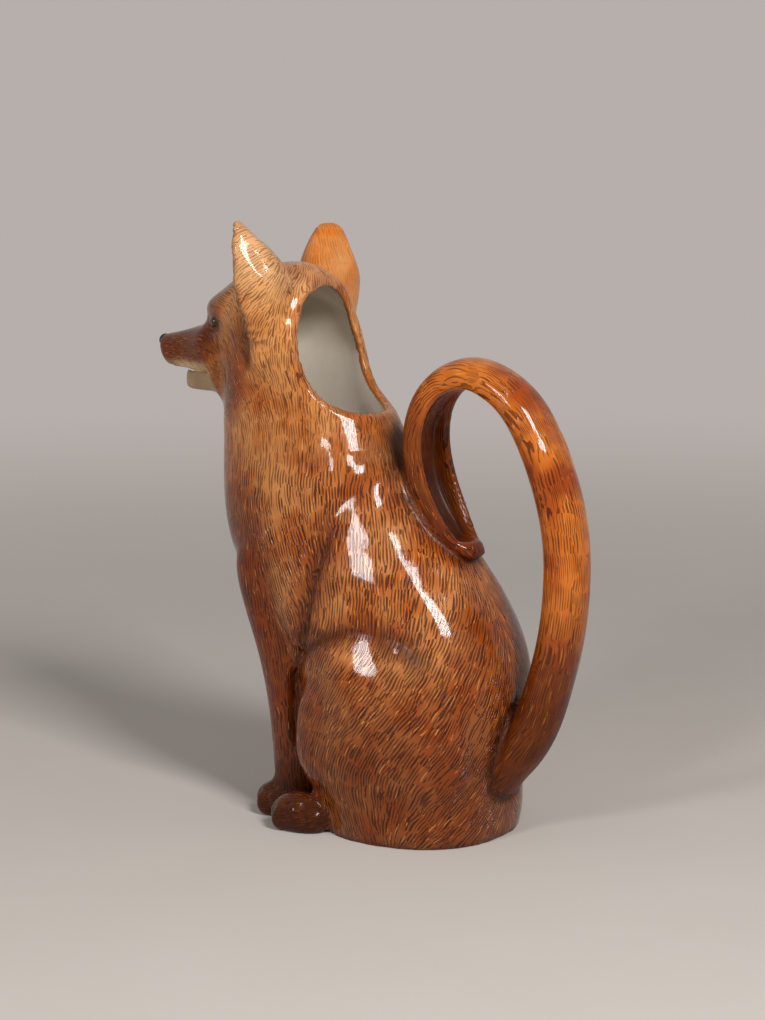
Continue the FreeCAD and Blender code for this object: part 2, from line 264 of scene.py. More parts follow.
@dataclass(frozen=True)
class Value:
    """A number socket that takes part in Python arithmetic."""

    shader: Shader
    socket: Socket

    def maths(self, operation: str, *others: object) -> "Value":
        """Adds a Math node on this value and the others."""
        named = {"in_%d" % place: entry for place, entry in enumerate((self, *others))}
        return Value(self.shader, self.shader.node("ShaderNodeMath", {"operation": operation}, **named).outputs[0])

    def __add__(self, other: object) -> "Value":
        """Sum."""
        return self.maths("ADD", other)

    __radd__ = __add__

    def __mul__(self, other: object) -> "Value":
        """Product."""
        return self.maths("MULTIPLY", other)

    __rmul__ = __mul__

    def __sub__(self, other: object) -> "Value":
        """Difference."""
        return self.maths("SUBTRACT", other)

    def __rsub__(self, other: object) -> "Value":
        """Difference from a number."""
        return (self * -1.0) + other

    def __truediv__(self, other: object) -> "Value":
        """Quotient."""
        return self.maths("DIVIDE", other)

    def floor(self) -> "Value":
        """Whole part."""
        return self.maths("FLOOR")

    def highest(self, other: object) -> "Value":
        """The larger of two."""
        return self.maths("MAXIMUM", other)

    def clear(self) -> "Value":
        """Kept between 0 and 1."""
        return self.maths("MINIMUM", 1.0).maths("MAXIMUM", 0.0)


@dataclass(frozen=True)
class Stroke:
    """One brush and the short hairs it leaves, side by side in small patches. Lengths are in metres."""

    length: float
    width: float
    pitch: float
    patch: float
    seed: float
    filled: float = 0.85
    fade: tuple[float, float] | None = None
    weight: float = 1.0
    wander: float = 1.6
    shift: float = 9.0
    scatter: tuple[float, float] = (97.0, 89.0)
    shortest: float = 0.75
    thinnest: float = 0.55
    edge: tuple[float, float] = (1.2, 0.35)

    def paint(self, shader: Shader) -> tuple[Value, Value]:
        """Draws the strokes along the way that the hair lies.

        Args:
            shader: The material.

        Returns:
            Where the strokes are, 0 to 1, and how strong each is, 0 to 1.
        """
        place = shader.vector("ADD", shader.place(), (self.seed, self.seed * 0.7, self.seed * 1.3))
        lie = shader.vector("NORMALIZE", shader.attribute("lie").outputs["Vector"])
        normal = shader.node("ShaderNodeNewGeometry").outputs["Normal"]
        side = shader.vector("NORMALIZE", shader.vector("CROSS_PRODUCT", normal, lie))
        wave = shader.noise(place, 0.9 / self.patch, 1.0) - 0.5
        patch = shader.node("ShaderNodeTexVoronoi", {"voronoi_dimensions": "3D", "feature": "F1"},
                            Vector=place, Scale=1.0 / self.patch, Randomness=1.0)
        away = shader.vector("SUBTRACT", place, patch.outputs["Position"])
        along = shader.dot(away, lie)
        across = shader.dot(away, side) + wave * (self.pitch * self.wander)
        start, turn, _ = shader.split(patch.outputs["Color"])
        count = across / self.pitch + start * self.shift
        number = count.floor()
        sideways = (count - number - 0.5) * self.pitch
        key = shader.node("ShaderNodeCombineXYZ", X=number, Y=start * self.scatter[0], Z=turn * self.scatter[1])
        chance = shader.node("ShaderNodeTexWhiteNoise", {"noise_dimensions": "3D"}, Vector=key.outputs[0])
        long, late, strong = shader.split(chance.outputs["Color"])
        reach = (long * 0.5 + self.shortest) * (self.length * 0.5)
        run = (along - (late - 0.5) * (self.length * 0.5)) / reach
        off = sideways / ((strong * 0.5 + self.thinnest) * (self.width * 0.5))
        mask = shader.smooth(run * run + off * off, *self.edge)
        mask = mask * shader.smooth(chance.outputs["Value"], self.filled, self.filled - 0.02)
        if self.fade:
            mask = mask * shader.smooth(shader.height(), *self.fade)
        return mask * self.weight, strong


@dataclass(frozen=True)
class FurGlaze:
    """Hand-painted hair under a clear glaze: dark strokes over a pale ground, darkened in the creases by airbrush
    together with painted shade.

    Bands are the values between which a tone sets in; scales are waves per metre.
    """

    name: str
    ground: Tint
    deep: Tint
    hair: Tint
    light_hair: Tint
    brushes: tuple[Stroke, ...]
    wisp: Stroke
    bright: Tint = colour(222, 148, 74)
    # Colour of the dark tone: dark brown paint together with painted shade.
    dark_and_shade: Tint = colour(44, 16, 5)
    red: Tint = colour(130, 50, 0)
    cream: Tint = colour(238, 222, 180)
    rim: Tint = colour(150, 84, 36)
    lining: Tint = colour(214, 202, 184)
    strength: float = 1.0
    relief: float = 0.45 * MM
    roughness: float = 0.10
    dulling: float = 1.0
    specular: float = 0.22
    cloud_scale: float = 42.0
    mottle_scale: float = 260.0
    rim_band: tuple[float, float] = (0.60, 0.74)
    lining_band: tuple[float, float] = (0.84, 0.90)
    dull_band: tuple[float, float] = (0.38, 0.62)
    calm_band: tuple[float, float] = (0.210, 0.235)

    def material(self) -> Material:
        """Builds the glaze.

        Returns:
            The material.
        """
        shader = Shader(bpy.data.materials.new(self.name))
        place = shader.place()
        paint = shader.attribute("paint")
        dark, warm, pale = shader.split(paint.outputs["Color"])
        inwards = paint.outputs["Alpha"]
        cloud = shader.noise(place, self.cloud_scale, 3.0)
        mottle = shader.noise(place, self.mottle_scale, 2.0)
        ground = shader.blend(shader.smooth(cloud, 0.36, 0.66), self.ground, self.deep)
        # Warm tone: red-brown airbrushing, partly painted shade low down and round the creases.
        ground = shader.blend(warm, ground, self.red)
        # Pale tone: the cream jaw and lip, and painted light on the crown and the top of the left ear.
        ground = shader.blend(pale, ground, self.cream)
        wisps, wisp_force = self.wisp.paint(shader)
        bright = shader.blend(warm * 0.5, self.bright, self.ground)
        ground = shader.blend((wisps * (wisp_force * 0.4 + 0.4) * (1.0 - pale)).clear(), ground, bright)
        strokes = None
        for brush in self.brushes:
            mask, force = brush.paint(shader)
            weight = mask * (force * 0.30 + 0.70)
            strokes = weight if strokes is None else strokes.highest(weight)
        drawn = strokes * (shader.smooth(cloud, 0.2, 0.6) * 0.25 + 0.75) * self.strength * (1.0 - pale * 0.75)
        hair = shader.blend(shader.smooth(mottle, 0.35, 0.7), self.hair, self.light_hair)
        hair = shader.blend(warm * 0.5, hair, self.dark_and_shade)
        tint = shader.blend(drawn.clear(), ground, hair)
        # Dark tone: dark airbrushing together with painted shade in creases and hollows.
        tint = shader.blend((dark * (0.85 + mottle * 0.3)).clear(), tint, self.dark_and_shade)
        rim = shader.smooth(inwards, *self.rim_band)
        tint = shader.blend(rim * 0.75, tint, self.rim)
        tint = shader.blend(shader.smooth(inwards, *self.lining_band), tint, self.lining)
        calm = shader.smooth(shader.height(), *self.calm_band)
        height = 1.0 - strokes * (1.0 - rim) * (1.0 - calm * 0.7) * 0.8 + mottle * 0.15
        dull = shader.smooth(dark, *self.dull_band) * self.dulling
        return shader.finish(tint, self.roughness + dull * 0.3, height, self.relief, Coat_Weight=0.2 - dull * 0.2,
                             Coat_Roughness=0.04, Specular_IOR_Level=self.specular)


@dataclass(frozen=True)
class PlainGlaze:
    """A plain glaze with faint clouds and a fine grain. Scales are waves per metre."""

    name: str
    tint: Tint
    cloud: Tint
    roughness: float = 0.15
    coat: float = 0.3
    grain: float = 300.0
    cloud_scale: float = 38.0
    relief: float = 0.04 * MM

    def material(self) -> Material:
        """Builds the glaze.

        Returns:
            The material.
        """
        shader = Shader(bpy.data.materials.new(self.name))
        place = shader.place()
        clouds = shader.noise(place, self.cloud_scale, 4.0, 0.6)
        grain = shader.noise(place, self.grain, 3.0, 0.6)
        tint = shader.blend(shader.smooth(clouds, 0.3, 0.75), self.tint, self.cloud)
        return shader.finish(tint, self.roughness + grain * 0.06, grain, self.relief, Coat_Weight=self.coat)


@dataclass(frozen=True)
class EyeGlaze:
    """Dark amber iris with a darker pupil and rim, painted round the middle of the eye."""

    name: str
    centre: Triple
    outward: Triple
    iris: float = 2.7 * MM
    pupil: float = 1.2 * MM
    threads: tuple[Tint, Tint] = (colour(92, 46, 12), colour(134, 76, 24))
    rim: Tint = colour(28, 14, 8)
    dark: Tint = colour(10, 7, 6)

    def material(self) -> Material:
        """Builds the eye's glaze.

        Returns:
            The material.
        """
        shader = Shader(bpy.data.materials.new(self.name))
        offset = shader.vector("SUBTRACT", shader.place(), self.centre)
        depth = shader.dot(offset, self.outward)
        sunk = shader.node("ShaderNodeVectorMath", {"operation": "SCALE"}, in_0=self.outward, Scale=depth)
        flat = shader.vector("SUBTRACT", offset, sunk.outputs[0])
        radius = shader.vector("LENGTH", flat, out=1)
        threads = shader.noise(shader.vector("NORMALIZE", flat), 9.0, 3.0, 0.7)
        amber = shader.blend(shader.smooth(threads, 0.3, 0.7), *self.threads)
        tint = shader.blend(shader.smooth(radius, self.iris * 0.72, self.iris), amber, self.rim)
        tint = shader.blend(shader.smooth(radius, self.pupil * 1.12, self.pupil * 0.9), tint, self.dark)
        return shader.finish(tint, 0.08, Coat_Weight=0.5)


def ramp(values: Array, low: float, high: float) -> Array:
    """A soft step that gives 0 at the low value and 1 at the high one."""
    share = np.clip((values - low) / (high - low), 0.0, 1.0)
    return share * share * (3.0 - 2.0 * share)


def lengths(vectors: Array) -> Array:
    """The length of each row."""
    return np.linalg.norm(vectors, axis=1)


def unit(vectors: Array) -> Array:
    """Each row made one long."""
    return vectors / np.maximum(lengths(vectors), TINY)[:, None]


@dataclass(frozen=True)
class Mark:
    """A soft band round a line on the fox's left side.

    The line and the band's width are in millimetres. The force is how far the clay stands out there in millimetres,
    or how strongly the band is painted.
    """

    line: Line
    width: float
    force: float


@dataclass
class Skin:
    """The casting's whole surface as one fine mesh, kept as arrays while it is shaped and painted."""

    voxel: float = 1.25 * MM
    settle_rounds: int = 14
    blend_reach: float = 7.0 * MM
    blend_rounds: int = 70
    edge_reach: float = 5.0 * MM
    root_reach: float = 20.0 * MM
    axis: Line = ((8, 0, 14), (8, 0, 60), (-8, 0, 96), (-47, 0, 147), (-57, 0, 190), (-52, 0, 222))
    mesh: bpy.types.Mesh = field(init=False)
    places: Array = field(init=False)
    faces: Array = field(init=False)
    edges: Array = field(init=False)
    region: Array = field(init=False)
    lining: Array = field(init=False)
    deep: Array = field(init=False)
    root_distance: Array = field(init=False)
    trough: Array = field(init=False)

    def __post_init__(self) -> None:
        """Joins the nodes, remeshes them and fills the arrays."""
        source, owner, tree = self.joined()
        self.mesh = self.remeshed(source)
        self.read()
        self.find_regions(owner, tree)
        self.lining = self.inwardness() > 0.55
        self.deep = self.distance_from(~self.lining, self.edge_reach) >= self.edge_reach

    def joined(self) -> tuple[bpy.types.Object, Array, BVHTree]:
        """Copies the casting's nodes into one object.

        Returns:
            The object, the region number of each of its faces, and a search tree over them.
        """
        whole = bmesh.new()
        owner = []
        for number, region in enumerate(REGIONS):
            part = bmesh.new()
            part.from_mesh(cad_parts[region.value].data)
            bmesh.ops.remove_doubles(part, verts=part.verts, dist=1e-6)
            scratch = bpy.data.meshes.new("scratch")
            part.to_mesh(scratch)
            owner += [number] * len(part.faces)
            part.free()
            whole.from_mesh(scratch)
            bpy.data.meshes.remove(scratch)
        tree = BVHTree.FromBMesh(whole)
        return put_in_scene(whole, "joined"), np.array(owner), tree

    def remeshed(self, source: bpy.types.Object) -> bpy.types.Mesh:
        """Remeshes the joined copy into one skin.

        Args:
            source: The joined copy, which is removed.

        Returns:
            The new mesh.
        """
        modifier = source.modifiers.new("skin", "REMESH")
        modifier.mode = "VOXEL"
        modifier.voxel_size = self.voxel
        modifier.adaptivity = 0.0
        graph = bpy.context.evaluated_depsgraph_get()
        mesh = bpy.data.meshes.new_from_object(source.evaluated_get(graph))
        bpy.data.objects.remove(source)
        return mesh

    def read(self) -> None:
        """Fills the arrays of places, faces and edges."""
        self.places = np.empty(len(self.mesh.vertices) * 3)
        self.mesh.vertices.foreach_get("co", self.places)
        self.places = self.places.reshape(-1, 3)
        corners = np.empty(len(self.mesh.loops), dtype=np.int32)
        self.mesh.loops.foreach_get("vertex_index", corners)
        self.faces = corners.reshape(-1, 4)
        edges = np.empty(len(self.mesh.edges) * 2, dtype=np.int32)
        self.mesh.edges.foreach_get("vertices", edges)
        self.edges = edges.reshape(-1, 2)

    @property
    def count(self) -> int:
        """Number of points."""
        return len(self.places)

    def spread(self, values: Array, keep: Array | None = None) -> Array:
        """The mean of each point's neighbours.

        Args:
            values: One number or vector a point.
            keep: The edges that count, or all.

        Returns:
            The means, the points' own values where they have no neighbour.
        """
        edges = self.edges if keep is None else self.edges[keep]
        first, second = edges[:, 0], edges[:, 1]
        flat = values.reshape(self.count, -1)
        total = np.empty_like(flat)
        for column in range(flat.shape[1]):
            line = flat[:, column]
            total[:, column] = np.bincount(first, line[second], self.count)
            total[:, column] += np.bincount(second, line[first], self.count)
        valence = np.bincount(edges.ravel(), minlength=self.count).astype(float)
        total /= np.maximum(valence, 1.0)[:, None]
        total[valence == 0] = flat[valence == 0]
        return total.reshape(values.shape)

    def soften(self, values: Array, rounds: int, keep: Array | None = None) -> Array:
        """Blends each point's value halfway with its neighbours' mean, in several rounds.

        Args:
            values: One number or vector a point.
            rounds: Number of rounds.
            keep: The edges that count, or all.

        Returns:
            The blended values.
        """
        for _ in range(rounds):
            values = 0.5 * values + 0.5 * self.spread(values, keep)
        return values

    def relax(self, weight: Array | float, rounds: int, keep_size: bool) -> None:
        """Smooths the places.

        Args:
            weight: How far each point moves to its neighbours' mean.
            rounds: Number of rounds.
            keep_size: Whether each round is followed by one that undoes the shrinking.
        """
        step = np.broadcast_to(np.asarray(weight, float), (self.count,))[:, None]
        for _ in range(rounds):
            self.places += step * 0.5 * (self.spread(self.places) - self.places)
            if keep_size:
                self.places -= step * 0.53 * (self.spread(self.places) - self.places)

    def normals(self) -> Array:
        """Finds which way the skin faces.

        Returns:
            Outward unit vector at each point.
        """
        corner = self.places[self.faces]
        across = np.cross(corner[:, 2] - corner[:, 0], corner[:, 3] - corner[:, 1])
        total = np.zeros_like(self.places)
        for column in range(3):
            for place in range(4):
                total[:, column] += np.bincount(self.faces[:, place], across[:, column], self.count)
        return total / np.maximum(lengths(total), 1e-12)[:, None]

    def find_regions(self, owner: Array, tree: BVHTree) -> None:
        """Gives each point the node that it came from, and straightens the borders.

        Args:
            owner: Region number of each face of the joined copy.
            tree: Search tree over those faces.
        """
        nearest = [tree.find_nearest(Vector(place))[2] for place in self.places]
        self.region = owner[np.array(nearest)]
        own_vote, neighbours_vote = 1.2, 4.0
        for _ in range(4):
            votes = np.zeros((self.count, len(REGIONS)))
            votes[np.arange(self.count), self.region] = own_vote
            votes += self.spread(votes) * neighbours_vote
            self.region = votes.argmax(axis=1)

    def inwardness(self) -> Array:
        """How far each point's outward side faces the hollow's middle line.

        Returns:
            0 on the outside, 1 on the wall of the hollow, and between them over the lip.
        """
        inward = unit(self.line_run(self.axis)[0] - self.places)
        facing = (self.normals() * inward).sum(axis=1)
        facing[~self.inside(CASTING)] = -1.0
        return np.clip(0.5 + 0.5 * self.soften(facing, 5), 0.0, 1.0)

    def distance_from(self, start: Array, reach: float) -> Array:
        """Distance along the skin from some points.

        Args:
            start: The points at distance 0.
            reach: How far it is measured.

        Returns:
            Metres, a metre or more beyond the reach.
        """
        first, second = self.edges[:, 0], self.edges[:, 1]
        length = lengths(self.places[first] - self.places[second])
        away = np.where(start, 0.0, 1.0)
        for _ in range(int(reach / self.voxel) + 2):
            np.minimum.at(away, first, away[second] + length)
            np.minimum.at(away, second, away[first] + length)
        return away

    def line_run(self, line: Line, folded: bool = False) -> tuple[Array, Array]:
        """The nearest point of a line of several runs.

        Args:
            line: The line's corners in millimetres.
            folded: Whether both sides of the fox are laid on its own left side first.

        Returns:
            The nearest points, and how far along the line each of them is.
        """
        places = self.folded() if folded else self.places
        corners = np.array(line, float) * MM
        best = np.broadcast_to(corners[0], places.shape).copy()
        reach = lengths(places - best)
        along = np.zeros(self.count)
        done = 0.0
        for start, end in zip(corners[:-1], corners[1:]):
            run = end - start
            share = np.clip((places - start) @ run / max(run @ run, 1e-12), 0.0, 1.0)
            point = start + share[:, None] * run
            away = lengths(places - point)
            closer = away < reach
            best[closer] = point[closer]
            length = np.linalg.norm(run)
            along[closer] = (done + share * length)[closer]
            reach = np.minimum(reach, away)
            done += length
        return best, along

    def inside(self, regions: set[Region]) -> Array:
        """Which points belong to these regions."""
        return np.isin(self.region, [REGIONS.index(region) for region in regions])

    def folded(self) -> Array:
        """The places with both sides of the fox laid on its own left side."""
        return np.column_stack((self.places[:, 0], -np.abs(self.places[:, 1]), self.places[:, 2]))

    def near(self, line: Line, width: float, folded: bool = True) -> Array:
        """A soft band round a line: 1 on it, and a third of that at the width in millimetres."""
        places = self.folded() if folded else self.places
        return np.exp(-((lengths(places - self.line_run(line, folded)[0]) / (width * MM)) ** 2))

    def ends(self, chosen: Array) -> Array:
        """Finds the points at the ends of some edges.

        Args:
            chosen: Which edges are chosen.

        Returns:
            Which points they join.
        """
        marked = np.zeros(self.count, bool)
        marked[self.edges[chosen].ravel()] = True
        return marked

    def settle(self) -> None:
        """Takes the facets and the steps of the remesh off, and runs the clay together where pieces meet."""
        self.relax(1.0, self.settle_rounds, True)
        first, second = self.region[self.edges[:, 0]], self.region[self.edges[:, 1]]
        tail = REGIONS.index(Region.TAIL)
        root = (first != second) & ((first == tail) | (second == tail))
        weight = np.clip(1.0 - self.distance_from(self.ends(first != second), self.blend_reach) / self.blend_reach,
                         0.0, 1.0)
        weight[self.lining] *= 0.3
        weight[self.distance_from(self.inside(EARS), self.blend_reach) < self.blend_reach] *= 0.12
        self.root_distance = self.distance_from(self.ends(root), self.root_reach)
        weight[self.root_distance < self.blend_reach] *= 0.25
        weight[self.places[:, 2] < 2.5 * MM] = 0.0
        self.relax(self.soften(weight, 5), self.blend_rounds, False)
        lip = 1.0 - np.abs(self.inwardness() - 0.5) * 2.0
        above_foot = self.places[:, 2] > 20 * MM
        self.relax(np.clip(lip * 1.6, 0.0, 1.0) * self.inside(CASTING) * above_foot, 16, False)

    def push(self, amount: Array, only: Array | None = None) -> None:
        """Moves the outer points, all or only some, outwards by so many millimetres."""
        free = ~self.lining if only is None else only & ~self.lining
        self.places += np.where(free, amount, 0.0)[:, None] * MM * self.normals()

    def flatten(self, place: Triple, facing: Triple, reach: float, share: float) -> None:
        """Presses a soft flat into both sides of the fox, where the glaze mirrors a lamp.

        Args:
            place: Its middle in millimetres, on the left side.
            facing: Where it faces.
            reach: Its radius in millimetres.
            share: How flat it gets, up to 1.
        """
        for side in (1.0, -1.0):
            mirror = np.array((1.0, side, 1.0))
            outward = np.array(facing) * mirror
            outward /= np.linalg.norm(outward)
            offset = self.places - np.array(place) * mirror * MM
            weight = share * np.exp(-((lengths(offset) / (reach * MM)) ** 2))
            weight *= ~self.lining * ramp(self.normals() @ outward, 0.2, 0.7)
            self.places -= (weight * (offset @ outward))[:, None] * outward


@dataclass
class Carving:
    """The hollows, creases and swellings that the solids leave out, in millimetres on the left side."""

    shoulder_line: Line = ((-11, -18, 175), (-12, -26, 166), (-17, -32, 156), (-21, -36, 145), (-25, -39, 135))
    leg_crease: Line = ((-23, -38, 140), (-27, -40, 124), (-31, -41, 110), (-34, -40, 95), (-42, -32, 81),
                        (-48, -26, 67), (-49, -26, 53), (-48, -25, 38))
    thigh_crease: Line = ((-42, -31, 80), (-29, -41, 88), (-20, -43, 93), (-9, -44, 97), (2, -44, 98), (12, -43, 97),
                          (20, -42, 94))
    body_marks: tuple[Mark, ...] = (
        Mark(shoulder_line, 7.0, -1.2), Mark(leg_crease, 3.4, -2.4), Mark(thigh_crease, 3.4, -1.6),
        Mark(((-3, -38, 125),), 18.0, 1.2), Mark(((-2, -47, 72),), 17.0, 2.8),
        Mark(((-38, -34, 62),), 15.0, 3.2), Mark(((-38, -36, 36),), 15.0, 3.2),
    )
    toe_gaps: tuple[tuple[set[Region], Triple], ...] = (
        (FOREPAWS, (-14.0, -20.0, -26.0)), (HIND_PAWS, (-30.0, -38.0, -45.0)),
    )
    eye_socket: Mark = Mark(((-101, -17, 229), (-95, -21, 230)), 5.5, -1.8)
    brow: Mark = Mark(((-104, -12, 239), (-92, -20, 241)), 5.0, 1.3)
    cheek: Mark = Mark(((-92, -30, 214), (-80, -34, 208)), 9.0, 1.5)
    crown: Mark = Mark(((-64, 0, 256), (-49, 0, 250)), 17.0, 2.8)
    ear_front: Mark = Mark(((-73, -36, 254), (-77, -30, 246), (-75, -29, 238), (-72, -31, 230), (-70, -32, 222),
                            (-71, -32, 214)), 3.0, -1.8)
    ear_ridge: Mark = Mark(((-70, -34, 246), (-67, -33, 232), (-65, -34, 218)), 5.0, 1.3)
    temple: Mark = Mark(((-87, -24, 236), (-83, -28, 222)), 6.0, -1.3)
    ear_facing: Triple = (0.684, -0.65, 0.331)
    lip_height: float = 3.6
    jaw_front: float = 118.0
    jaw_stretch: float = 0.42
    tail_end: Line = ((30, 0, 212), (18, 0, 207), (9, 0, 193), (10, 0, 165), (21, 0, 144), (35, 0, 130))
    loop_middle: Triple = (48, 0, 168)
    channel_depth: float = 7.5
    channel_width: float = 11.5
    seam_depth: float = 1.5
    seam_width: float = 2.6
    flats: tuple[tuple[Triple, Triple, float, float], ...] = (
        ((-62.7, -40.8, 271.2), (0.687, -0.649, 0.328), 6.5, 0.85),
        ((-59.1, -38.9, 266.3), (0.684, -0.65, 0.331), 7, 0.9),
        ((-55.1, -36.9, 260), (0.681, -0.651, 0.336), 7, 0.9),
        ((13.9, -18, 141.1), (0.624, -0.662, 0.416), 5, 0.6),
        ((27.7, -18.8, 124.1), (0.615, -0.662, 0.428), 10, 0.75),
        ((33.4, -22.1, 114.2), (0.611, -0.661, 0.436), 8, 0.55),
        ((-5.9, -34.1, 139.8), (0.238, -0.918, 0.316), 12, 0.8),
        ((-3.7, -39.4, 125.2), (0.237, -0.915, 0.327), 12, 0.7),
        ((1.3, -46.4, 85.6), (0.234, -0.906, 0.354), 20, 1),
        ((2.3, -46.4, 85.7), (0.233, -0.906, 0.354), 9, 0.7),
        ((20.2, -41.9, 90.6), (0.474, -0.86, 0.19), 8, 0.6),
        ((-32.9, -45.3, 13.4), (0.625, -0.616, 0.48), 8, 0.9),
        ((74, -9.5, 185), (0.603, -0.69, 0.401), 6, 0.5),
        ((-21.1, -20.4, 188.6), (0.649, -0.658, 0.382), 7, 0.5),
        ((-2.5, -20.7, 160.2), (0.77, -0.52, 0.38), 9, 0.6),
        ((-50, -23, 243), (0.667, -0.658, 0.35), 8, 0.9),
        ((-49, -31, 224), (0.24, -0.95, 0.10), 10, 0.8),
        ((-29, -32, 171), (0.05, -0.96, 0.28), 12, 0.8),
    )

    def cut(self, skin: Skin) -> None:
        """Carves the skin.

        Args:
            skin: The fused skin.
        """
        self.press(skin, self.body_marks, skin.inside({Region.BODY} | HAUNCHES | FORELEGS | FOREPAWS))
        self.toes(skin)
        self.head(skin)
        self.ears(skin)
        self.jaw(skin)
        self.tail(skin)
        skin.relax(0.8, 3, True)
        skin.relax(0.9 * skin.inside(EARS), 14, True)
        for place, facing, reach, share in self.flats:
            skin.flatten(place, facing, reach, share)

    @staticmethod
    def press(skin: Skin, marks: tuple[Mark, ...], only: Array, folded: bool = True) -> None:
        """Presses marks into the clay one after the other, or raises it along them."""
        for mark in marks:
            skin.push(mark.force * skin.near(mark.line, mark.width, folded), only)

    def toes(self, skin: Skin) -> None:
        """Parts the toes of the paws.

        Args:
            skin: The fused skin.
        """
        for regions, gaps in self.toe_gaps:
            only = skin.inside(regions)
            front = skin.places[only, 0].min() / MM
            for across in gaps:
                line = ((front - 2, across, 0), (front + 4, across, 10), (front + 14, across, 15))
                self.press(skin, (Mark(line, 2.0, -1.6),), only)

    def head(self, skin: Skin) -> None:
        """Shapes the eye sockets, brows, cheeks, crown and temples, and the fold in front of the left ear.

        Args:
            skin: The fused skin.
        """
        face = skin.inside(FACE)
        self.press(skin, (self.eye_socket, self.brow, self.cheek), face)
        lift = self.crown.force * MM * skin.near(self.crown.line, self.crown.width)
        skin.places[:, 2] += lift * ~skin.inside(EARS)
        self.press(skin, (self.ear_front, self.ear_ridge), face | skin.inside({Region.LEFT_EAR}), folded=False)
        self.press(skin, (self.temple,), face)

    def ears(self, skin: Skin) -> None:
        """Widens the left ear at its edges and rounds the thin rim of the right one.

        Args:
            skin: The fused skin.
        """
        up = skin.places[:, 2] / MM
        ear = skin.inside({Region.LEFT_EAR}) * ramp(up, 224.0, 242.0) * (1.0 - ramp(up, 264.0, 281.0))
        edge = 1.0 - ramp(skin.normals() @ np.array(self.ear_facing), 0.35, 0.9)
        skin.push(2.3 * skin.soften(ear, 4) * edge)
        thin = skin.soften(skin.inside({Region.RIGHT_EAR}).astype(float), 3)
        skin.relax(0.6 * thin, 5, False)
        skin.push(1.0 * thin)

    def jaw(self, skin: Skin) -> None:
        """Raises the lower lip at the sides and draws the jaw's front out.

        Args:
            skin: The fused skin.
        """
        jaw = skin.inside({Region.JAW})
        across = np.abs(skin.places[:, 1]) / MM
        side = ramp(across, 3.0, 5.5) * ramp(skin.places[:, 2] / MM, 199.0, 202.0) * jaw
        skin.places[:, 2] += self.lip_height * MM * side
        beyond = np.minimum(skin.places[:, 0] / MM + self.jaw_front, 0.0) * jaw
        skin.places[:, 0] -= self.jaw_stretch * MM * beyond

    def tail(self, skin: Skin) -> None:
        """Hollows the inner side of the tail's end into a channel, and cuts the seam at its root.

        Args:
            skin: The fused skin.
        """
        tail = skin.inside({Region.TAIL})
        nearest, along = skin.line_run(self.tail_end)
        length = along.max()
        inward = np.array(self.loop_middle) * MM - skin.places
        inward[:, 1] = 0.0
        facing = ramp((skin.normals() * unit(inward)).sum(axis=1), 0.0, 0.6)
        across = np.abs(skin.places[:, 1]) / MM
        run = facing * ramp(along, 4 * MM, 60 * MM) * (1.0 - ramp(along, length - 16 * MM, length - 4 * MM))
        run *= (1.0 - ramp(lengths(skin.places - nearest), 18 * MM, 26 * MM)) * tail
        trough = run * (1.0 - ramp(across, self.channel_width * 0.62, self.channel_width))
        lip = run * ramp(across, self.channel_width, self.channel_width + 1.5)
        skin.trough = skin.soften(trough, 2)
        skin.push(1.0 * lip - self.channel_depth * skin.trough, tail)
        seam = np.exp(-((skin.root_distance / (self.seam_width * MM)) ** 2))
        skin.push(-self.seam_depth * seam * (skin.places[:, 2] < 80 * MM))


class AirbrushAndShade:
    """How dark, warm and pale the ground gets at each point, 0 to 1: airbrushing together with painted shade and
    painted light.
    """

    def __init__(self, count: int) -> None:
        """Starts with the bare ground at so many points."""
        self.tones = {tone: np.zeros(count) for tone in ("dark", "warm", "pale")}

    def spray(self, where: Array, **strengths: float) -> None:
        """Raises tones, given by name with their strength, where the airbrush went and where shade and light are
        painted.
        """
        for tone, strength in strengths.items():
            self.tones[tone] = np.maximum(self.tones[tone], strength * where)

    def wipe(self, where: Array, **shares: float) -> None:
        """Takes a share of tones off again."""
        for tone, share in shares.items():
            self.tones[tone] *= 1.0 - share * where


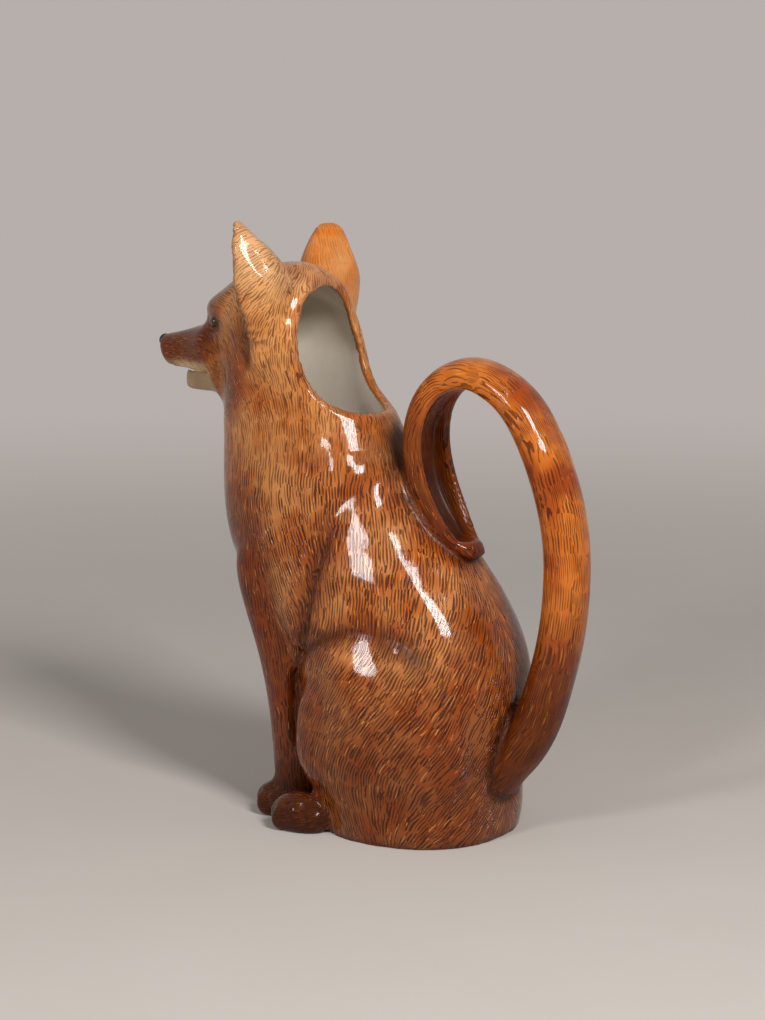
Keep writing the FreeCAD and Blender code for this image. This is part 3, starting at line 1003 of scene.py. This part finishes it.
@dataclass
class Coat:
    """Which way the hair lies, and where the airbrush went and shade and light are painted, in millimetres on the left
    side.

    Each row of the combing is a place and, in tenths, the way that the hair lies there.
    """

    comb_reach: float = 17.0
    bare_share: float = 0.12
    combing: tuple[tuple[int, ...], ...] = (
        (36, -41, 59, -4, -4, -8), (47, -29, 64, -3, -4, -9), (45, -36, 43, -4, -6, -7), (48, -20, 29, -3, -6, -7),
        (36, -41, 26, -7, -2, -7), (42, -30, 13, -5, -7, -6), (21, -47, 53, -7, -2, -7), (3, -49, 51, -8, 0, -6),
        (2, -47, 66, -6, -2, -8), (-10, -48, 44, -7, 1, -7), (-21, -46, 53, -4, 1, -9), (-46, -23, 51, 0, -1, -10),
        (-27, -42, 31, 0, 2, -10), (-11, -47, 29, 0, 2, -10), (3, -49, 37, -5, 1, -9), (15, -48, 36, -6, 0, -8),
        (8, -47, 24, -2, 2, -10), (-1, -46, 19, 2, 3, -9), (-13, -43, 17, 3, 3, -9), (7, -45, 12, 6, 0, -8),
        (16, -45, 19, 0, 2, -10), (25, -43, 20, -5, 0, -8), (25, -43, 9, -8, -2, -6), (34, -38, 9, -7, -5, -5),
        (0, -44, 5, 8, -1, -6), (38, -35, 85, -2, -5, -9), (24, -44, 69, -5, -3, -8), (-21, -42, 83, -6, 2, -8),
        (17, -32, 121, 1, -4, -9), (-2, -42, 109, 0, -2, -10), (40, -29, 95, -1, -6, -8), (12, -44, 86, -4, -1, -9),
        (-47, -31, 208, 0, 1, -10), (-59, -33, 178, 0, -1, -10), (-80, -28, 164, -1, 1, -10),
        (-31, -30, 180, 1, -2, -10), (-66, -34, 131, 2, -1, -10), (-45, -38, 133, 4, -1, -9),
        (-37, -40, 123, 5, -1, -8), (-62, -34, 114, 3, 0, -10), (-67, -32, 206, 5, 0, -8), (-84, -26, 205, 3, -2, -9),
        (-53, -32, 221, 2, -1, -10), (-18, -26, 173, 2, -3, -9), (-20, -31, 162, 0, -3, -10),
        (-6, -27, 156, 3, -3, -9), (6, -14, 155, 5, -3, -8), (-18, -38, 134, 1, -2, -10), (6, -36, 124, 2, -3, -9),
        (23, -32, 114, 2, -4, -9), (-10, -42, 112, 0, -2, -10), (-62, -39, 270, -4, -9, -2),
        (-57, -37, 264, -1, -10, -2), (-60, -43, 259, -8, -4, -4), (-56, -40, 252, -6, -6, -5),
        (-53, -36, 245, -4, -5, -8), (-64, -42, 245, -9, 1, -5), (-51, -28, 249, 1, -2, -10),
        (-48, -28, 231, 1, 0, -10), (-55, -36, 234, -4, -1, -9), (-74, -31, 221, 7, -2, -7),
        (-86, -25, 208, 6, -3, -7), (-90, -24, 238, 8, -5, -2), (-122, -12, 218, 9, -3, 1),
    )
    tail_line: Line = ((44, 0, 28), (65, 0, 54), (78, 0, 95), (81, 0, 122), (75, 0, 164), (66, 0, 188), (55, 0, 201),
                       (42, 0, 210), (30, 0, 212), (18, 0, 207), (9, 0, 193), (10, 0, 165), (21, 0, 144), (35, 0, 130))
    ways: tuple[tuple[set[Region], Triple], ...] = (
        (FORELEGS, (0.12, 0.0, -1.0)), (PAWS, (-1.0, 0.0, -0.35)),
        ({Region.MUZZLE, Region.JAW}, (1.0, -0.1, 0.12)), (EARS, (-0.6, 0.0, -0.45)),
    )
    # Dark bands in the creases, in the eye sockets, behind the jaw and under the tail's lip: the glaze's airbrushing
    # together with painted shade, and a painted shadow where the tail's end lies on the back.
    dark_marks: tuple[Mark, ...] = (
        Mark(Carving.leg_crease, 3.6, 0.75), Mark(Carving.thigh_crease, 3.6, 0.65),
        Mark(Carving.ear_front.line, 2.6, 0.75), Mark(((10, -43, 97), (18, -42, 94), (28, -39, 86)), 5.0, 0.62),
        Mark(((-2, -9, 170), (-6, -4, 182)), 8.0, 0.9),
        Mark(((6, -13, 155), (16, -12, 142), (30, -8, 128)), 4.0, 0.75),
        Mark(((-101, -17, 229), (-94, -22, 230)), 4.5, 0.85), Mark(((-86, -25, 210), (-88, -24, 196)), 6.0, 0.35),
    )
    # Red-brown bands round the creases, on the cheek below the ear, on the brow and on the neck: the glaze's
    # airbrushing together with painted shade.
    warm_marks: tuple[Mark, ...] = (
        Mark(Carving.leg_crease, 17.0, 0.85), Mark(Carving.shoulder_line, 11.0, 0.6),
        Mark(Carving.thigh_crease, 13.0, 0.8), Mark(((-78, -30, 224), (-78, -30, 208), (-86, -25, 196)), 12.0, 0.85),
        Mark(((-104, -12, 236), (-112, -8, 222)), 12.0, 0.6), Mark(((0, -18, 164), (12, -16, 146)), 15.0, 0.65),
        Mark(((-62, -35, 148), (-66, -34, 126)), 17.0, 0.6),
    )
    tail_tip: Mark = Mark(((33, 0, 128), (36, 0, 131)), 11.0, 0.7)

    @staticmethod
    def lean(way: Array, share: Array, direction: Triple | Array) -> Array:
        """Turns the hair towards a direction by a share at each point."""
        aim = unit(np.broadcast_to(np.asarray(direction, float), way.shape))
        return way * (1 - share[:, None]) + aim * share[:, None]

    def lie(self, skin: Skin) -> Array:
        """The way that the hair lies at each point.

        Args:
            skin: The fused skin.

        Returns:
            Unit vectors along the surface.
        """
        way = np.tile(np.array((0.10, 0.0, -1.0)), (skin.count, 1))
        for regions, direction in self.ways:
            way = self.lean(way, 1.0 * skin.inside(regions), direction)
        height = skin.places[:, 2] / MM
        head = skin.inside({Region.HEAD})
        way = self.lean(way, np.clip((height - 178) / 30, 0.0, 1.0) * head, (0.8, -0.25, -0.75))
        way = self.lean(way, np.clip((height - 232) / 14, 0.0, 1.0) * head, (1.0, -0.2, 0.1))
        share, combed = self.combed(skin)
        way = self.lean(way, share * ~skin.inside(PAWS | FORELEGS | {Region.RIGHT_EAR}), combed)
        way = self.lean(way, 1.0 * skin.inside({Region.RIGHT_EAR}), (0.3, 0.25, -1.0))
        tail = skin.inside({Region.TAIL})
        way = self.lean(way, 1.0 * tail, self.tail_run(skin))
        way[:, 1] *= np.where(skin.places[:, 1] > 0, -1.0, 1.0)
        normals = skin.normals()
        way -= normals * (way * normals).sum(axis=1)[:, None]
        way = unit(way + normals[:, [1, 2, 0]] * 1e-6)
        groups = np.where(tail, 1, 0) + np.where(skin.lining, 2, 0) + np.where(skin.inside(FORELEGS | FOREPAWS), 8, 0)
        way = skin.soften(way, 12, groups[skin.edges[:, 0]] == groups[skin.edges[:, 1]])
        return unit(way - normals * (way * normals).sum(axis=1)[:, None])

    def combed(self, skin: Skin) -> tuple[Array, Array]:
        """Spreads the combing over the skin.

        Args:
            skin: The fused skin.

        Returns:
            How strongly each point is combed, 0 to 1, and which way.
        """
        folded = skin.folded()
        total = np.zeros(skin.count)
        combed = np.zeros_like(folded)
        for row in self.combing:
            weight = np.exp(-((lengths(folded - np.array(row[:3]) * MM) / (self.comb_reach * MM)) ** 2))
            total += weight
            combed += weight[:, None] * (np.array(row[3:]) / 10)
        return total / (total + self.bare_share), combed

    def tail_run(self, skin: Skin) -> Array:
        """Follows the tail's middle line.

        Args:
            skin: The fused skin.

        Returns:
            The direction of the middle line nearest to each point.
        """
        corners = np.array(self.tail_line, float) * MM
        middles = (corners[:-1] + corners[1:]) * 0.5
        runs = unit(corners[1:] - corners[:-1])
        away = np.linalg.norm(skin.places[:, None, :] - middles[None], axis=2)
        weight = np.exp(-((away / (14 * MM)) ** 2)) + TINY
        return (weight @ runs) / weight.sum(axis=1)[:, None]

    def paint(self, skin: Skin) -> Array:
        """Dark, warm and pale airbrushing, with painted shade and painted light.

        Args:
            skin: The fused skin.

        Returns:
            Dark, warm, pale and how far inside it is, at each point.
        """
        brush = AirbrushAndShade(skin.count)
        for mark in self.dark_marks:
            brush.spray(skin.near(mark.line, mark.width), dark=mark.force)
        for mark in self.warm_marks:
            brush.spray(skin.near(mark.line, mark.width), warm=mark.force)
        height = skin.places[:, 2] / MM
        front = -skin.places[:, 0] / MM
        self.paint_tail(skin, brush, height)
        self.paint_body(skin, brush, height, front)
        self.paint_head(skin, brush, height, front)
        levels = skin.soften(np.stack(list(brush.tones.values()), axis=1), 3)
        depth = skin.distance_from(~skin.lining, 6 * MM)
        inwards = np.minimum(skin.inwardness(), 0.55 + 0.08 * depth / MM)
        return np.concatenate([np.clip(levels, 0, 1), inwards[:, None]], axis=1)

    def paint_tail(self, skin: Skin, brush: AirbrushAndShade, height: Array) -> None:
        """Darkens the tail's root with painted shade in its crease, its hollow end with dark paint and painted shade,
        and its lower half.

        Args:
            skin: The fused skin.
            brush: The airbrush, which also lays the painted shade and light.
            height: Millimetres above the table.
        """
        tail = skin.inside({Region.TAIL})
        low = height < 75.0
        # Painted shade in the crease round the tail's root, with a wider warm shade low down.
        brush.spray(np.exp(-((skin.root_distance / (3.6 * MM)) ** 2)) * np.where(low, 0.85, 0.6), dark=1.0)
        brush.spray(np.exp(-((skin.root_distance / (14 * MM)) ** 2)) * low, warm=0.8)
        # The channel of the tail's end: dark paint together with painted shade.
        brush.spray(skin.trough, dark=0.88)
        brush.spray(skin.near(self.tail_tip.line, self.tail_tip.width) * tail, dark=self.tail_tip.force)
        middle, end = skin.line_run(Carving.tail_end)
        share = tail * (1.0 - ramp(lengths(skin.places - middle), 15 * MM, 21 * MM))
        brush.spray(share * ramp(end, 18 * MM, 50 * MM), dark=0.36)
        brush.spray(share * ramp(end, 2 * MM, 30 * MM), warm=0.75)
        brush.spray(tail * (1.0 - ramp(height, 50.0, 125.0)), dark=0.62)
        brush.spray(tail * (1.0 - ramp(height, 70.0, 150.0)), warm=0.8)
        brush.spray(tail, warm=0.25)

    @staticmethod
    def paint_body(skin: Skin, brush: AirbrushAndShade, height: Array, front: Array) -> None:
        """Darkens paws, legs, foot, haunches, chest and back; the darkening towards the bottom, on the chest and along
        the bottom edge is partly painted shade.

        Args:
            skin: The fused skin.
            brush: The airbrush, which also lays the painted shade and light.
            height: Millimetres above the table.
            front: Millimetres before the middle of the foot.
        """
        paws = skin.inside(PAWS).astype(float)
        for _ in range(6):
            paws = np.maximum(paws, skin.spread(paws))
        legs = skin.inside(FORELEGS | PAWS)
        brush.spray((1.0 - ramp(height, 6.0, 52.0)) * np.maximum(legs, 0.8 * paws), dark=0.86, warm=0.9)
        # A dark line along the bottom edge: painted shade where the carafe meets the table.
        brush.spray(1.0 - ramp(height, 0.5, 5.0), dark=0.6)
        brush.spray(skin.inside(FORELEGS), dark=0.22, warm=0.95)
        brush.spray(height < 225.0, warm=0.22)
        body = skin.inside({Region.BODY, Region.FOOT} | HAUNCHES | FORELEGS)
        brush.spray(body, warm=0.32)
        # Redder and darker towards the bottom: the glaze's airbrushing together with painted shade.
        brush.spray(body * (1.0 - ramp(height, 60.0, 118.0)), warm=0.76)
        brush.spray(body * (1.0 - ramp(height, 25.0, 85.0)), dark=0.30)
        brush.spray(body * ramp(-front, 26.0, 44.0), warm=0.80)
        # The chest darker and redder: airbrushing together with painted shade.
        chest = body * ramp(front - 0.2 * (height - 100.0), 36.0, 58.0) * (1.0 - ramp(height, 130.0, 180.0))
        brush.spray(chest, dark=0.20, warm=0.95)

    @staticmethod
    def paint_head(skin: Skin, brush: AirbrushAndShade, height: Array, front: Array) -> None:
        """Darkens the face, partly with painted shade, and the ear cups; lightens the crown and the top of the left
        ear with painted light, and leaves the jaw and the lower lip pale.

        Args:
            skin: The fused skin.
            brush: The airbrush, which also lays the painted shade and light.
            height: Millimetres above the table.
            front: Millimetres before the middle of the foot.
        """
        far_ear = skin.inside({Region.RIGHT_EAR})
        # The face darker and redder, partly painted shade.
        face = ramp(front, 84.0, 106.0) * (height > 190.0)
        brush.spray(face, dark=0.40, warm=0.85)
        brush.spray(far_ear, warm=0.15)
        # Painted light: the crown and the top of the left ear lighter towards the top.
        brush.spray(ramp(height, 236.0, 262.0) * (1.0 - face) * ~far_ear, pale=0.20)
        cup = np.clip((-skin.normals()[:, 0] - 0.25) * 2.0, 0, 1) * skin.inside(EARS)
        brush.spray(cup, dark=0.6)
        before = ramp(front, 97.0, 106.0)
        lip = skin.inside({Region.MUZZLE}) * (1.0 - ramp(height, 208.5, 213.0)) * before
        lip = lip * (1.0 - 0.8 * ramp(front, 122.0, 134.0))
        brush.spray(skin.inside({Region.JAW}) * before, pale=0.8)
        brush.spray(lip, pale=0.65)
        brush.wipe(lip, dark=0.8, warm=0.9)


def put_in_scene(work: bmesh.types.BMesh, name: str) -> bpy.types.Object:
    """Turns finished mesh work into an object of the scene, and frees the work.

    Args:
        work: The mesh work.
        name: Name of the object and of its mesh.

    Returns:
        The object.
    """
    mesh = bpy.data.meshes.new(name)
    work.to_mesh(mesh)
    work.free()
    made = bpy.data.objects.new(name, mesh)
    bpy.context.scene.collection.objects.link(made)
    return made


def put_on_carafe(made: bpy.types.Object, node: str, finish: Material) -> None:
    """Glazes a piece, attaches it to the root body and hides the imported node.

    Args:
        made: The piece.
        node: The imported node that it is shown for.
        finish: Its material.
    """
    made.data.materials.append(finish)
    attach(made, "root")
    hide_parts(node)
    log.info("%s: %d faces", made.name, len(made.data.polygons))


class Casting:
    """The clay body: the fused skin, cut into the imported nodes' pieces."""

    backing = 0.5 * MM
    slots = {Region.MUZZLE: Slot.MUZZLE, Region.JAW: Slot.JAW, Region.TAIL: Slot.TAIL, Region.FOOT: Slot.FOOT}
    slots |= dict.fromkeys(PAWS, Slot.PAW)

    def __init__(self) -> None:
        """Fuses, shapes and paints the skin."""
        self.skin = Skin()
        log.info("skin: %d points, %d faces", self.skin.count, len(self.skin.faces))
        self.skin.settle()
        Carving().cut(self.skin)
        self.write("lie", "FLOAT_VECTOR", Coat().lie(self.skin))
        self.write("paint", "FLOAT_COLOR", Coat().paint(self.skin))
        self.write("out", "FLOAT_VECTOR", self.skin.normals())
        self.skin.mesh.vertices.foreach_set("co", self.skin.places.ravel())
        self.skin.mesh.update()

    def write(self, name: str, kind: str, values: Array) -> None:
        """Stores an attribute on the skin's points."""
        made = self.skin.mesh.attributes.new(name, kind, "POINT")
        made.data.foreach_set("color" if kind == "FLOAT_COLOR" else "vector", values.ravel())

    def build(self, finishes: dict[Slot | Region, Material], lining: Material) -> None:
        """Cuts the pieces, dresses them and attaches them to the root body.

        Args:
            finishes: Material of each slot, and of a region that has its own.
            lining: Material of the inside.
        """
        votes = self.skin.region[self.skin.faces]
        region = np.array([np.bincount(row).argmax() for row in votes])
        inner = self.skin.deep[self.skin.faces].sum(axis=1) >= 2
        for number, part in enumerate(REGIONS):
            slot = self.slots.get(part, Slot.FUR)
            outside = self.piece("glazed_" + part.value, (region == number) & ~inner)
            put_on_carafe(outside, part.value, finishes.get(part, finishes[slot]))
            if part in CASTING and (inner & (region == number)).any():
                inside = self.piece("lining_" + part.value, (region == number) & inner)
                put_on_carafe(inside, part.value, lining)
        bpy.data.meshes.remove(self.skin.mesh)

    def piece(self, name: str, chosen: Array) -> bpy.types.Object:
        """Cuts one piece out of the skin and closes it behind.

        Args:
            name: The piece's name.
            chosen: The faces that it keeps.

        Returns:
            The piece.
        """
        work = bmesh.new()
        work.from_mesh(self.skin.mesh)
        spare = [face for face, keep in zip(work.faces, chosen) if not keep]
        bmesh.ops.delete(work, geom=spare, context="FACES")
        back = work.faces[:]
        hidden = work.verts[:]
        bmesh.ops.extrude_face_region(work, geom=back + work.edges[:] + hidden, use_keep_orig=True)
        bmesh.ops.reverse_faces(work, faces=back)
        out = work.verts.layers.float_vector["out"]
        for vert in hidden:
            vert.co -= vert[out] * self.backing
        made = put_in_scene(work, name)
        self.smooth_outside(made.data)
        return made

    @staticmethod
    def smooth_outside(mesh: bpy.types.Mesh) -> None:
        """Gives the outer faces the whole skin's shading, so that no seam shows between the pieces.

        Args:
            mesh: The piece's mesh.
        """
        mesh.shade_smooth()
        out = np.empty(len(mesh.vertices) * 3)
        mesh.attributes["out"].data.foreach_get("vector", out)
        corners = np.empty(len(mesh.loops), dtype=np.int32)
        mesh.loops.foreach_get("vertex_index", corners)
        facing = np.empty(len(mesh.polygons) * 3)
        mesh.polygons.foreach_get("normal", facing)
        totals = np.empty(len(mesh.polygons), dtype=np.int32)
        mesh.polygons.foreach_get("loop_total", totals)
        facing = np.repeat(facing.reshape(-1, 3), totals, axis=0)
        wanted = out.reshape(-1, 3)[corners]
        hidden = (wanted * facing).sum(axis=1) < 0.3
        wanted[hidden] = facing[hidden]
        mesh.normals_split_custom_set(wanted)


@dataclass
class Eye:
    """A glazed eye in its socket: a low dome."""

    node: str
    side: float
    sunk: float = 2.3 * MM
    shares: Triple = (0.66, 0.92, 0.77)

    def build(self) -> None:
        """Models the eye and attaches it to the root body."""
        low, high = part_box(self.node)
        size = (high[2] - low[2]) / 2
        facing = Vector((-0.59, self.side * 0.78, -0.2)).normalized()
        gaze = Vector((-0.66, self.side * 0.72, 0.0)).normalized()
        centre = (Vector(low) + Vector(high)) / 2 - facing * self.sunk
        work = bmesh.new()
        bmesh.ops.create_uvsphere(work, u_segments=48, v_segments=24, radius=1.0)
        bmesh.ops.scale(work, verts=work.verts, vec=[share * size for share in self.shares])
        bmesh.ops.rotate(work, verts=work.verts, matrix=facing.to_track_quat("X", "Z").to_matrix(), cent=(0, 0, 0))
        bmesh.ops.translate(work, verts=work.verts, vec=centre)
        made = put_in_scene(work, "glazed_" + self.node)
        made.data.shade_smooth()
        finish = EyeGlaze(self.node + "_glaze", tuple(centre), tuple(gaze)).material()
        put_on_carafe(made, self.node, finish)


@dataclass
class Nose:
    """The small dark nose on the muzzle's tip."""

    shares: Triple = (0.82, 0.78, 0.74)
    shift: Triple = (-0.2 * MM, 0.0, 0.5 * MM)

    def build(self, finish: Material) -> None:
        """Models the nose in its glaze and attaches it to the root body.

        Args:
            finish: Its material.
        """
        low, high = (Vector(corner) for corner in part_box("nose"))
        work = bmesh.new()
        bmesh.ops.create_uvsphere(work, u_segments=40, v_segments=24, radius=1.0)
        bmesh.ops.scale(work, verts=work.verts, vec=(high - low) / 2 * Vector(self.shares))
        bmesh.ops.translate(work, verts=work.verts, vec=(low + high) / 2 + Vector(self.shift))
        made = put_in_scene(work, "glazed_nose")
        made.data.shade_smooth()
        put_on_carafe(made, "nose", finish)


FINE = Stroke(12.5 * MM, 0.96 * MM, 1.52 * MM, 9.5 * MM, 1.0, 0.95, (0.190, 0.160))
HEAD = Stroke(9.0 * MM, 0.86 * MM, 1.26 * MM, 7.2 * MM, 2.3, 0.97, (0.160, 0.190), 0.72)
BROAD = Stroke(10.0 * MM, 0.70 * MM, 1.9 * MM, 8.0 * MM, 3.7, 0.4)
WISP = Stroke(9.0 * MM, 0.60 * MM, 2.1 * MM, 7.5 * MM, 11.9, 0.4)
TAIL_HAIR = Stroke(14.0 * MM, 0.72 * MM, 1.10 * MM, 11.0 * MM, 5.1, 1.0)
TAIL_WISP = Stroke(11.0 * MM, 0.55 * MM, 1.9 * MM, 10.0 * MM, 13.3, 0.35)
SHORT = Stroke(4.4 * MM, 0.58 * MM, 0.95 * MM, 4.2 * MM, 7.3)
SHORT_WISP = Stroke(4.6 * MM, 0.45 * MM, 1.5 * MM, 4.4 * MM, 17.9, 0.45)


def fur(name: str, brushes: tuple[Stroke, ...], wisp: Stroke, ground: Tint = colour(220, 150, 86),
        deep: Tint = colour(184, 96, 28), **others: float) -> Material:
    """The glaze of a furry piece, in the fox's two hair colours, with further values by name."""
    return FurGlaze(name, ground, deep, colour(70, 20, 0), colour(106, 40, 2), brushes, wisp, **others).material()


def finishes() -> dict[Slot | Region, Material]:
    """Builds a material for each slot but the eyes', and one for the right ear.

    Returns:
        The materials by slot, or by region.
    """
    orange, rust = colour(222, 124, 40), colour(164, 68, 6)
    short = 0.15 * MM
    return {
        Slot.FUR: fur("fur_glaze", (FINE, HEAD, BROAD), WISP),
        Region.RIGHT_EAR: fur("ear_glaze", (HEAD,), WISP, deep=orange, strength=0.4, relief=0.3 * MM),
        Slot.TAIL: fur("tail_glaze", (TAIL_HAIR,), TAIL_WISP, orange, rust, strength=0.9, relief=0.12 * MM),
        Slot.MUZZLE: fur("muzzle_glaze", (SHORT,), SHORT_WISP, relief=short, specular=0.12),
        Slot.PAW: fur("paw_glaze", (SHORT,), SHORT_WISP, relief=short, dulling=0.0, specular=0.08),
        Slot.JAW: PlainGlaze("jaw_glaze", colour(170, 142, 108), colour(146, 114, 82)).material(),
        Slot.NOSE: PlainGlaze("nose_glaze", colour(30, 20, 18), colour(44, 28, 24), 0.2).material(),
        Slot.FOOT: PlainGlaze("foot_clay", colour(222, 214, 200), colour(206, 196, 180), 0.75, 0.0, 900.0).material(),
    }


@dataclass(frozen=True)
class Softbox:
    """One rectangular lamp, aimed at the middle of the fox."""

    name: str
    azimuth: float
    elevation: float
    distance: float
    width: float
    height: float
    power: float

    def build(self, target: Vector) -> None:
        """Places the lamp.

        Args:
            target: The point it is aimed at.
        """
        turn, rise = math.radians(self.azimuth), math.radians(self.elevation)
        away = Vector((math.cos(turn) * math.cos(rise), math.sin(turn) * math.cos(rise), math.sin(rise)))
        lamp = bpy.data.lights.new(self.name, "AREA")
        lamp.shape = "RECTANGLE"
        lamp.size = self.width
        lamp.size_y = self.height
        lamp.energy = self.power
        made = bpy.data.objects.new(self.name, lamp)
        made.location = target + away * self.distance
        made.rotation_euler = (-away).to_track_quat("-Z", "Y").to_euler()
        bpy.context.scene.collection.objects.link(made)


@dataclass
class Studio:
    """Floor, backdrop, lamps and camera."""

    azimuth: float = 32.0
    distance: float = 1362 * MM
    height: float = 379.8 * MM
    focal: float = 3000.0
    frame_height: float = 1020.0
    aside: float = 29.5
    sensor: float = 36.0
    aim: Triple = (0.0, 0.0, 0.12)
    softboxes: tuple[Softbox, ...] = (
        Softbox("key_softbox", -32.0, 38.0, 1.6, 0.36, 0.46, 18.0),
        Softbox("side_softbox", -95.0, 25.0, 1.6, 0.27, 0.34, 7.4),
    )
    floor_size: float = 6.0
    floor_end: tuple[float, float] = (0.25, 1.5)
    sky_strength: float = 0.31

    def build(self) -> None:
        """Sets the studio up."""
        self.camera()
        self.floor()
        for softbox in self.softboxes:
            softbox.build(Vector(self.aim))
        self.sky()
        bpy.context.scene.view_settings.view_transform = "Standard"

    def camera(self) -> None:
        """Places the camera as in the photograph."""
        turn = math.radians(self.azimuth)
        pitch = math.atan(self.frame_height / 2 / self.focal)
        back = Vector((math.sin(turn), -math.cos(turn), 0.0))
        right = Vector((math.cos(turn), math.sin(turn), 0.0))
        look = -back * math.cos(pitch) - Vector((0, 0, 1)) * math.sin(pitch)
        place = back * self.distance + Vector((0, 0, self.height))
        place -= right * (self.aside / self.focal * -place.dot(look))
        lens = bpy.data.cameras.new("camera")
        lens.sensor_width = self.sensor
        lens.lens = self.focal * self.sensor / self.frame_height
        lens.clip_end = 50.0
        made = bpy.data.objects.new("camera", lens)
        made.location = place
        made.rotation_euler = look.to_track_quat("-Z", "Y").to_euler()
        bpy.context.scene.collection.objects.link(made)
        bpy.context.scene.camera = made

    def floor(self) -> None:
        """Lays a pale floor that fades into the backdrop's colour further out."""
        work = bmesh.new()
        bmesh.ops.create_grid(work, x_segments=1, y_segments=1, size=self.floor_size)
        made = put_in_scene(work, "floor")
        shader = Shader(bpy.data.materials.new("pale_floor"))
        grain = shader.noise(shader.place(), 9.0, 3.0)
        tint = shader.blend(grain, colour(204, 196, 188), colour(210, 203, 196))
        far = shader.smooth(shader.vector("LENGTH", shader.place(), out=1), *self.floor_end) * shader.seen()
        made.data.materials.append(shader.finish(
            shader.blend(far, tint, BLACK), 0.9, Specular_IOR_Level=0.0,
            Emission_Color=shader.blend(far, BLACK, HAZE), Emission_Strength=1.0))

    def sky(self) -> None:
        """Gives the world an even pale light, and the backdrop's colour where it is seen."""
        world = bpy.data.worlds.new("studio")
        shader = Shader(world)
        even = shader.node("ShaderNodeBackground", Color=colour(232, 229, 226), Strength=self.sky_strength)
        backdrop = shader.node("ShaderNodeBackground", Color=HAZE)
        mixed = shader.node("ShaderNodeMixShader", in_0=shader.seen(), in_1=even.outputs[0], in_2=backdrop.outputs[0])
        shader.node("ShaderNodeOutputWorld", Surface=mixed.outputs[0])
        bpy.context.scene.world = world


def main() -> None:
    """Builds the fox in order and reports each piece."""
    logging.basicConfig(level=logging.INFO, format="%(name)s %(message)s")
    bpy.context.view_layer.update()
    Studio().build()
    materials = finishes()
    lining = PlainGlaze("lining_glaze", colour(222, 212, 196), colour(212, 200, 182), 0.14, 0.4).material()
    Casting().build(materials, lining)
    for node, side in (("left_eye", -1.0), ("right_eye", 1.0)):
        Eye(node, side).build()
    Nose().build(materials[Slot.NOSE])


if __name__ == "__main__":
    main()
